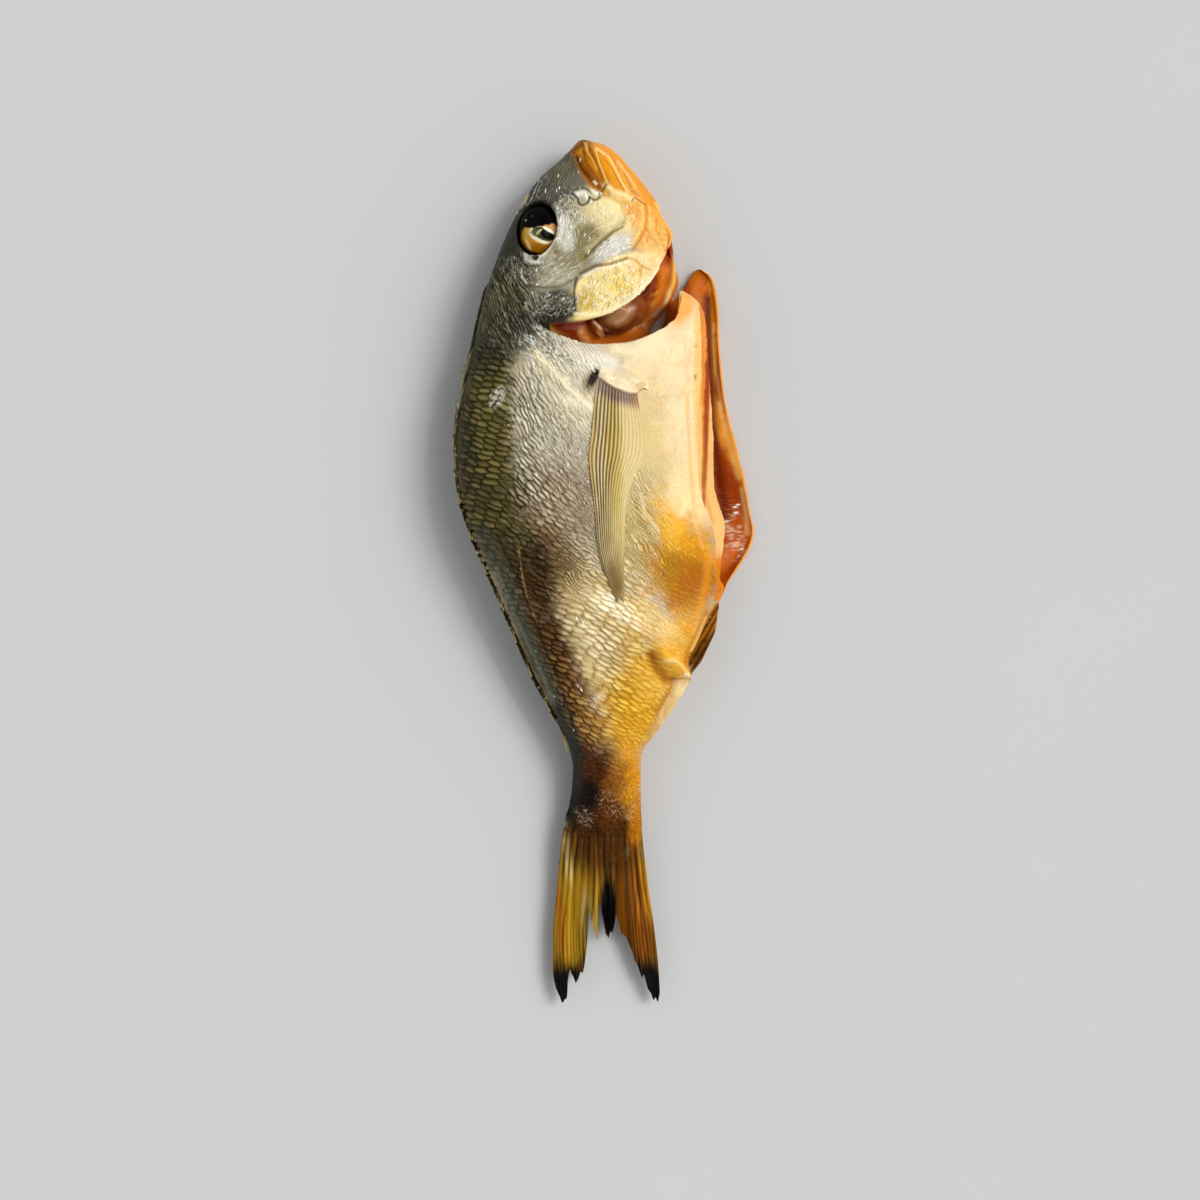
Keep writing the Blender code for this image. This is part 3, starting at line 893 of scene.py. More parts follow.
def shares_along(chain: Array) -> Array:
    """How far along a chain of points each lies, with its half-way point at its own middle number."""
    step = np.linalg.norm(np.diff(chain, axis=0), axis=-1) + 1e-6
    return np.append(0, np.cumsum(step)) / step.sum()


def rounded_end(rings: Rings, front: bool, radius: float, steps: int = 5) -> Array:
    """Extra rows that round the end of a thin wall over, from both of its skins towards its middle.

    Args:
        rings: the cross-sections.
        front: whether the first row is rounded, or else the last.
        radius: the greatest radius of the rounding.
        steps: how many rows.

    Returns:
        The rows, from the wall outwards.
    """
    row, inner_row = (rings.points[0], rings.points[3]) if front else (rings.points[-1], rings.points[-4])
    partner = np.zeros_like(row)
    for left, right in rings.facing(row):
        for own, other in ((left, right), (right, left)):
            at, there = shares_along(row[own]), shares_along(row[other])
            for axis in range(3):
                partner[own, axis] = np.interp(at, there, row[other, axis])
    gap = partner - row
    thickness = np.linalg.norm(gap, axis=-1, keepdims=True)
    forward = row - inner_row
    forward /= np.maximum(np.linalg.norm(forward, axis=-1, keepdims=True), 1e-9)
    r = np.minimum(thickness * 0.46, radius)
    angle = (np.linspace(0, math.pi / 2, steps + 1)[1:])[:, None, None]
    inward = gap / np.maximum(thickness, 1e-9)
    return row + inward * r * (1 - np.cos(angle)) + forward * r * np.sin(angle)


def strip(points: Array, left: Array, right: Array) -> Array:
    """Triangles between two chains of points, walking along both at the same share."""
    a, b = shares_along(points[left]), shares_along(points[right])
    am, bm = (a[1:] + a[:-1]) / 2, (b[1:] + b[:-1]) / 2
    apex = np.searchsorted(bm, am)
    first = np.column_stack([left[:-1], right[apex], left[1:]])
    apex = np.searchsorted(am, bm, side="right")
    second = np.column_stack([right[:-1], right[1:], left[apex]])
    return np.vstack([first, second])


def lid(rings: Rings, row: int, front: bool) -> Array:
    """Triangles that close one end of the cross-sections, across their walls.

    Args:
        rings: the cross-sections.
        row: the end row.
        front: whether it is the first row.

    Returns:
        Triangles of point numbers.
    """
    points = rings.points[row]
    chains = rings.facing(points)
    found = [strip(points, left, right) for left, right in chains]
    if len(chains) > 1:
        above, below = chains[0][0][0], chains[0][1][0]
        ceiling, floor = chains[1][1][-1], chains[2][1][0]
        found.append(np.array([[above, ceiling, floor], [above, floor, below]]))
    tris = np.vstack(found) + row % len(rings.points) * len(points)
    return tris[:, ::-1] if front else tris


# --- Skin -------------------------------------------------------------------------------------------


@dataclass(frozen=True)
class Scales(Oval):
    """Scales of one size and slant over an oval stretch of the flank.

    A scale is width across and length along in millimetres, its columns lean by slant degrees, and it
    stands up by height. dark is how strongly painted shade darkens the cracks between scales, light how
    strong the painted highlight on their crowns is, soft the share of the stretch's size that its fade
    takes and jitter how far a scale strays from its row.
    """

    width: float
    length: float
    slant: float
    height: float
    dark: float
    light: float
    seed: int
    soft: float = 0.25
    jitter: float = 0.3

    def weight(self, x: Array, y: Array, grain: Array) -> Array:
        """How strongly the stretch holds at each point."""
        return self.within(x, y, grain, self.soft, 0.25)

    def cells(self, arc: Array, y: Array) -> Cells:
        """The scales, on a lattice that warps a little from place to place."""
        warp = layered(arc / 7, y / 7, 3, self.seed) * 1.5
        bend = layered(arc / 9, y / 9, 3, self.seed + 50) * 1.2
        a, b = turned(arc + warp, y + bend, self.slant)
        return pillows(a / self.width, b / self.length, self.seed, self.jitter, 0.5)


@dataclass(frozen=True)
class Strands(Scales):
    """Skin drawn into strands: width is their pitch, length how long they are and slant their direction."""

    def cells(self, arc: Array, y: Array) -> Cells:
        """The strands, on axes that run along and across them."""
        u, v = turned(arc, y, self.slant)
        return strands(u / self.length, v / self.width, self.seed)


@dataclass(frozen=True)
class Pelt:
    """A stretch of skin: what it is coloured and how its surface runs.

    base is its colour where no tint lies. tints are laid in order and scales blended by their own
    stretches, with painted shade in their cracks and painted highlight on their crowns; wrinkles, lines
    and the painted glints of sparkles follow, and pits are hollows in the skin. grain is the strength of
    the fine unevenness, in millimetres, rough the skin's roughness, and plan the body's size against the
    plan on which all of these are laid out.
    """

    base: tuple[int, int, int]
    tints: list[Tint] = field(default_factory=list)
    scales: list[Scales] = field(default_factory=list)
    lines: list[Line] = field(default_factory=list)
    wrinkles: list[Wrinkles] = field(default_factory=list)
    sparkles: list[Sparkles] = field(default_factory=list)
    pits: list[Pit] = field(default_factory=list)
    grain: float = 0.05
    rough: float = 0.42
    plan: float = 0.972

    def apply(self, x: Array, y: Array, arc: Array, seed: int = 0) -> tuple[Array, Array, Array]:
        """Work the skin out at each point.

        Args:
            x: places across the fish.
            y: places along it.
            arc: distance over the skin across the fish, so that scales keep their size on steep sides.
            seed: shifts the noise.

        Returns:
            The relief in millimetres, the colour and the roughness.
        """
        x, y = on_plan(x, y, self.plan)
        grain = layered(x / 3.1, y / 3.1, 4, seed + 5)
        fine = layered(arc / 0.8, y / 0.8, 3, seed + 9)
        blotch = layered(x / 6.5, y / 6.5, 3, seed + 13)
        colour = painted(shade(*self.base), self.tints, x, y, grain)
        height = self.grain * fine + self.grain * 2.2 * grain
        rough = self.rough + 0.10 * blotch + 0.08 * fine
        total = np.full(x.shape, 1e-6)
        relief, crack, tone, crown = (np.zeros(x.shape) for _ in range(4))
        for stretch in self.scales:
            weight = stretch.weight(x, y, grain)
            if weight.max() < 0.01:
                continue
            cells = stretch.cells(arc, y)
            rise = (0.7 * cells.height + 0.3 * cells.lens) * (0.7 + 0.6 * cells.tone)
            relief += weight * stretch.height * (rise - 0.45)
            # crack gathers the painted shade for the cracks, crown the painted highlight for the crowns.
            crack += weight * stretch.dark * cells.gap
            tone += weight * (cells.tone - 0.5) * min(stretch.dark * 1.3, 1)
            crown += weight * stretch.light * cells.lens * (0.25 + 1.1 * cells.tone)
            total += weight
        share = 1 / np.maximum(total, 1)
        relief, crack, tone, crown = relief * share, crack * share, tone * share, crown * share
        height = height + relief
        # Painted shade darkens the cracks; tone, grain and mottle vary the skin's own colour.
        light = (1 - crack) * (1 + 0.42 * tone) * (1 + 0.10 * fine + 0.14 * blotch)
        colour = colour * np.clip(light, 0.05, 3)[..., None]
        # Painted highlight lightens the scale crowns towards white.
        colour = colour + (1 - colour) * np.clip(crown, 0, 0.7)[..., None] * colour**0.5
        for wrinkle in self.wrinkles:
            rise, share = wrinkle.lay(x, y, grain)
            height = height + rise
            colour = laid(colour, wrinkle.colour, share)
        height, colour = creased(height, colour, self.lines, x, y)
        # Painted glints, with lower roughness and a slight rise.
        for speck in self.sparkles:
            mask = speck.mask(x, y, grain)
            colour = laid(colour, speck.colour, mask)
            rough = rough - 0.15 * mask
            height = height + 0.10 * mask
        return height, np.clip(colour, 0, 1), np.clip(rough, 0.12, 0.9)

    def sink(self, x: Array, y: Array) -> Array:
        """How far the pits move each point up or down."""
        x, y = on_plan(x, y, self.plan)
        return sum((pit.shift(x, y) for pit in self.pits), np.zeros(x.shape))


def arc_across(points: Array, x: Array) -> Array:
    """Distance over the skin across each row, counted so that it is x in the middle of the row."""
    step = np.linalg.norm(np.diff(points[..., [0, 2]], axis=1), axis=-1)
    arc = np.concatenate([np.zeros((len(points), 1)), np.cumsum(step, axis=1)], axis=1)
    middle = points.shape[1] // 2
    sign = np.sign(x[:, -1:] - x[:, :1])
    return sign * (arc - arc[:, middle : middle + 1]) + x[:, middle : middle + 1]


TRUNK_SKIN = Pelt(
    base=(180, 164, 134),
    tints=[
        Tint(-16, 52, 34, 15, 90, (186, 174, 146)),
        Tint(-8, 62, 12, 9, 120, (222, 206, 158), 0.85, 0.6),
        Tint(-14, 22, 18, 15, 90, (142, 119, 88), 0.9, 0.6),
        Tint(-41, 50, 44, 10.5, 90, (102, 91, 38), 1.0, 0.35),
        Tint(-48, 40, 38, 4.5, 92, (50, 48, 28), 0.85),
        Tint(-36, 16, 20, 8, 110, (98, 86, 38)),
        Tint(-43, 88, 20, 12, 80, (54, 51, 28)),
        Tint(-32, 94, 16, 10, 62, (74, 69, 42)),
        Tint(-27, 87, 6, 3.4, 20, (34, 32, 22), 0.95),
        Tint(-14, 68, 12, 5, -42, (228, 214, 178), 0.9),
        Tint(-10, 74, 14, 9, 160, (218, 206, 176), 0.9),
        Tint(-2, 74.5, 9, 3.6, -14, (240, 230, 206), 0.9, 0.6, 0.5),
        # Painted shade: a greyer band along the front edge of the shoulder.
        Tint(-8, 78.6, 9, 2.0, -12, (176, 166, 150), 0.8),
        # Painted shade: the dark hollow behind the fin's base, brown round a near-black middle.
        Tint(-3.4, 67.6, 4.6, 2.4, 60, (120, 92, 56), 0.8),
        Tint(-2.7, 68.9, 3.5, 1.5, 62, (30, 18, 8), 1.0, 0.30, 0.1),
        Tint(-10, -2, 12, 12, 90, (186, 164, 124), 0.9, 0.6),
        Tint(-19, 4, 18, 11, 122, (112, 84, 44), 0.95),
        Tint(-24, 0, 19, 7.5, 108, (46, 24, 3), 1.0, 0.6, 0.5),
        Tint(-30, 24, 14, 5, 100, (84, 72, 36), 0.8),
        Tint(4, -26, 26, 16, 110, (190, 152, 70), 1.0, 0.45),
        Tint(-4, -20, 16, 9, 110, (198, 172, 120), 0.8, 0.6),
        Tint(-16.5, -32, 28, 8.0, 112, (84, 47, 8), 1.0, 0.45),
        Tint(-5, -54, 12, 7, 110, (132, 84, 18), 0.9),
        Tint(12, -48, 22, 11, 72, (196, 136, 12)),
        Tint(27, 60, 44, 19, 90, (240, 212, 166), 1.0, 0.35),
        Tint(34.5, 66, 34, 1.7, 90, (242, 186, 110), 0.9),
        Tint(35.8, 40, 26, 2.0, 88, (240, 170, 80), 0.8),
        Tint(28.6, 95, 7.5, 4, 66, (238, 166, 80), 0.95),
        Tint(16, 34, 34, 9, 92, (216, 190, 130)),
        Tint(12, 12, 16, 9, 96, (188, 160, 92), 0.9),
        Tint(32, 27, 17, 7.5, 86, (246, 212, 152), 0.9),
        Tint(29, 3, 15, 12, 74, (196, 124, 2), 1.0, 0.5, 0.4),
        Tint(31, 10.5, 12, 4.6, -36, (226, 152, 14), 0.95, 0.6, 0.6),
        Tint(25.5, 1, 9, 4.6, 70, (152, 106, 4), 0.7, 0.7, 0.5),
        Tint(23.5, 19, 9, 4.4, -70, (232, 170, 44), 0.85, 0.7, 0.7),
        Tint(32.5, -5, 12, 7.5, 70, (160, 86, 0), 0.95, 0.6),
        Tint(26, -28, 18, 8, 60, (222, 158, 40)),
        Tint(6, -12, 11, 4, 150, (250, 228, 176), 0.9),
        Tint(18, -16, 11, 5, 140, (240, 196, 112), 0.8),
        Tint(-2, -76, 17, 13, 96, (64, 28, 3), 1.0, 0.4),
        Tint(9.8, -72, 20, 4.6, 90, (204, 134, 14), 1.0, 0.6, 0.5),
        Tint(5, -74, 9, 4, 80, (120, 66, 8), 0.8, 0.7, 0.6),
        Tint(0, -94, 18, 10, 0, (58, 25, 2), 1.0, 0.4, 0.5),
        Tint(4, -86, 6, 4, 20, (92, 44, 6), 0.8, 0.6, 0.5),
        Tint(12.5, -90, 12, 2.6, 84, (186, 114, 14), 0.95),
        Tint(-5, -79, 6, 4, 90, (10, 4, 2), 0.95),
        Tint(-10.5, -72, 22, 3.0, 88, (30, 27, 18), 1.0, 0.4),
        Tint(-31, 84, 14, 7, 20, (58, 55, 40), 0.9, 0.6),
        Tint(-27, -8, 42, 7.5, 110, (40, 26, 6), 0.5, 0.6),
        Tint(-37, 34, 40, 11, 94, (64, 56, 22), 0.35, 0.6),
    ],
    scales=[
        Scales(-40, 40, 44, 10, 88, 4.6, 2.15, -22, 1.25, 0.86, 0.20, 3, 0.2, 0.35),
        Strands(-34, 94, 14, 12, 60, 1.0, 4.5, -64, 0.5, 0.72, 0.50, 6),
        Strands(-12, 70, 14, 12, 130, 1.15, 6.5, -60, 0.45, 0.34, 0.32, 7, 0.4),
        Scales(-19, 56, 18, 13, 100, 4.6, 1.35, -60, 1.05, 0.84, 0.65, 5, 0.4, 0.8),
        Strands(-12, 48, 22, 8, 90, 0.95, 2.6, -58, 0.7, 0.80, 0.62, 15, 0.4),
        Scales(-20, 32, 15, 13, 90, 3.6, 1.55, -44, 1.25, 0.92, 0.68, 8, 0.3, 0.7),
        Strands(-6, 36, 22, 5, 90, 0.8, 1.8, -56, 0.65, 0.84, 0.62, 9),
        Scales(-20, 15, 10, 15, 90, 3.3, 1.75, -32, 1.25, 0.94, 0.60, 10, 0.3, 0.6),
        Scales(-26, 0, 20, 12, 100, 3.9, 2.0, -20, 1.15, 0.84, 0.15, 11, 0.25, 0.5),
        Strands(-7, 6, 14, 9, 90, 1.2, 3.2, -36, 0.70, 0.70, 0.50, 12),
        Scales(-12, -32, 34, 10, 110, 4.2, 1.9, -27, 1.1, 0.80, 0.45, 17, 0.4, 0.5),
        Scales(6, -28, 32, 15, 98, 4.2, 1.85, -27, 0.9, 0.40, 0.80, 17, 0.4, 0.5),
        Scales(0, -80, 18, 20, 90, 1.5, 1.0, -10, 0.22, 0.45, 0.12, 23, 0.3, 0.8),
        Strands(22, -22, 22, 10, 62, 1.5, 3.0, -22, 0.3, 0.16, 0.5, 24, 0.5),
        Scales(32, -8, 22, 9, 70, 2.4, 1.2, -40, 0.14, 0.10, 0.12, 25, 0.5, 0.6),
        Strands(16, -50, 16, 7, 66, 1.6, 2.6, -24, 0.25, 0.18, 0.45, 26, 0.5),
        Strands(15, 14, 24, 9, 98, 1.0, 4.2, -50, 0.5, 0.46, 0.5, 27, 0.5),
        Scales(28, 60, 30, 12, 90, 1.3, 2.6, 30, 0.03, 0.03, 0.0, 29, 0.4, 0.7),
    ],
    wrinkles=[
        # Painted highlight: white-silver wrinkles on the nape.
        Wrinkles(-22, 80, 6, 6, 20, 1.5, 2.0, -50, 0.5, (226, 226, 214), 0.9, 101, 0.15),
        Wrinkles(-16, 78, 8, 4, -35, 1.3, 2.0, -35, -0.3, (66, 58, 42), 0.75, 107, 0.10),
        Wrinkles(-16, 72, 10, 6, -40, 1.6, 2.6, -45, 0.2, (130, 116, 86), 0.5, 106, 0.06),
        # Partly painted highlight: near-white wrinkles by the shoulder.
        Wrinkles(-4, 75, 10, 4, -14, 1.5, 2.4, -40, 0.3, (250, 244, 228), 0.7, 108, 0.09),
        Wrinkles(-31, 88, 12, 6, 66, 1.8, 3.6, -62, 0.3, (160, 154, 122), 0.6, 109, 0.07),
        Wrinkles(-34, 86, 14, 7, 70, 1.7, 3.6, -66, 0.3, (16, 14, 8), 0.7, 110, 0.11),
        # Painted glints: grey-white wrinkles.
        Wrinkles(-36.5, 61.5, 4, 2.6, 60, 1.1, 1.6, 70, 0.3, (232, 228, 208), 0.8, 102, 0.25),
        Wrinkles(3.5, -82.5, 5, 3.8, -50, 1.0, 1.3, 30, 0.3, (240, 206, 160), 0.85, 103, 0.03),
        Wrinkles(-6, -87, 4, 2.8, -60, 1.2, 1.4, -30, 0.3, (190, 172, 150), 0.75, 100, 0.06),
        Wrinkles(26, 62, 22, 8, 80, 5.0, 3.0, 70, 0.12, (232, 176, 96), 0.35, 104, 0.05),
        Wrinkles(29, 13, 12, 7, -40, 1.3, 1.6, -30, 0.25, (255, 210, 80), 0.5, 105, 0.06),
    ],
    lines=[
        # Cream folds by the shoulder, pale partly in their own colour and partly as painted highlight.
        Line([(-23.2, 77), (-18, 71.5), (-11, 64), (-5, 58.5)], 1.3, -0.9, (246, 230, 190), 0.85),
        Line([(-12, 60.5), (-5, 58)], 2.0, -0.7, (250, 238, 206), 0.85),
        Line([(-12, 79), (-4, 76.5), (4, 74)], 2.0, -0.4, (240, 230, 206)),
        Line([(5, 79), (12, 78), (20, 82)], 3.0, -0.1, (244, 222, 180), 0.85),
        Line([(-29.2, 9), (-28, 0), (-26.2, -9), (-23, -17)], 0.3, 0.1, (176, 138, 82)),
        Line([(-42, 16), (-34.8, 0), (-27, -20), (-17.9, -40), (-11.8, -59), (-11, -74)], 2.5, -0.2,
             (74, 75, 58), 0.95),
        Line([(-37, 2), (-29, -18), (-20, -38), (-12.6, -56)], 0.7, -0.2, (124, 124, 102), 0.6),
        Line([(-15.5, -48), (-11.2, -60), (-9.6, -70), (-10.4, -78)], 2.6, 0, (40, 42, 34), 0.85),
        Line([(-37, 14), (-30, -1), (-22.6, -20), (-14.2, -40), (-9.4, -56)], 0.6, 0.3, (40, 34, 16)),
        # The gold fold behind the vent: golden crest, painted highlights on it and painted shadow in the
        # crease beneath.
        Line([(21.5, -28.5), (25, -31), (28.4, -34.6)], 3.0, -2.6, (232, 166, 40), 0.8),
        Line([(22, -30.4), (24.6, -30.2)], 1.0, -0.4, (255, 222, 146)),
        Line([(17.5, -29), (20, -34), (23.5, -38), (27.4, -38.4)], 1.9, 1.8, (156, 96, 6), 0.85),
        Line([(24.4, -30), (27.4, -32), (28.8, -35), (27, -36.8)], 0.8, -0.7, (250, 206, 120)),
        Line([(20, -49.5), (24.5, -42), (28.4, -37.8)], 1.5, 0.2, (178, 112, 14)),
        Line([(37.6, -14), (35, -20.5), (31.6, -27), (30, -31.5)], 1.4, 0.3, (186, 116, 24), 0.8),
        Line([(37.4, -16), (34.8, -22), (32.4, -27.4)], 0.6, -0.3, (236, 190, 104), 0.8),
        Line([(37.6, -18), (35.2, -24), (32.2, -30), (31, -34)], 0.6, 0.4, (74, 38, 4), 0.85),
        Line([(28.6, -35), (30.4, -36.6)], 0.8, -0.6, (255, 236, 196), 0.9),
        Line([(31, -20), (34, -14), (37, -4), (38, 6)], 1.6, -0.5, (236, 150, 20), 0.5),
        Line([(30.5, 62), (31.5, 40), (33, 22), (36, 10)], 0.7, 0.25, (236, 176, 96), 0.6),
        Line([(29.5, 84), (30.8, 70), (30.5, 58)], 0.6, 0.2, (240, 196, 130), 0.5),
        Line([(33.4, 69.8), (33.5, 70.6)], 0.5, 0.2, (170, 100, 40), 0.8),
        Line([(33.6, 81), (33.7, 81.3)], 0.35, 0.2, (190, 110, 40), 0.8),
        Line([(11.6, 26), (13, 18), (17, 13)], 0.8, 0.5, (190, 158, 92), 0.5),
        Line([(13.5, 28), (15, 21), (20, 15)], 0.8, -0.5, (246, 226, 170), 0.5),
    ],
    sparkles=[
        Sparkles(-14, 50, 34, 18, 90, 0.8, 0.02, 111),
        Sparkles(-10, -30, 34, 12, 90, 0.8, 0.012, 112),
    ],
    grain=0.06,
)

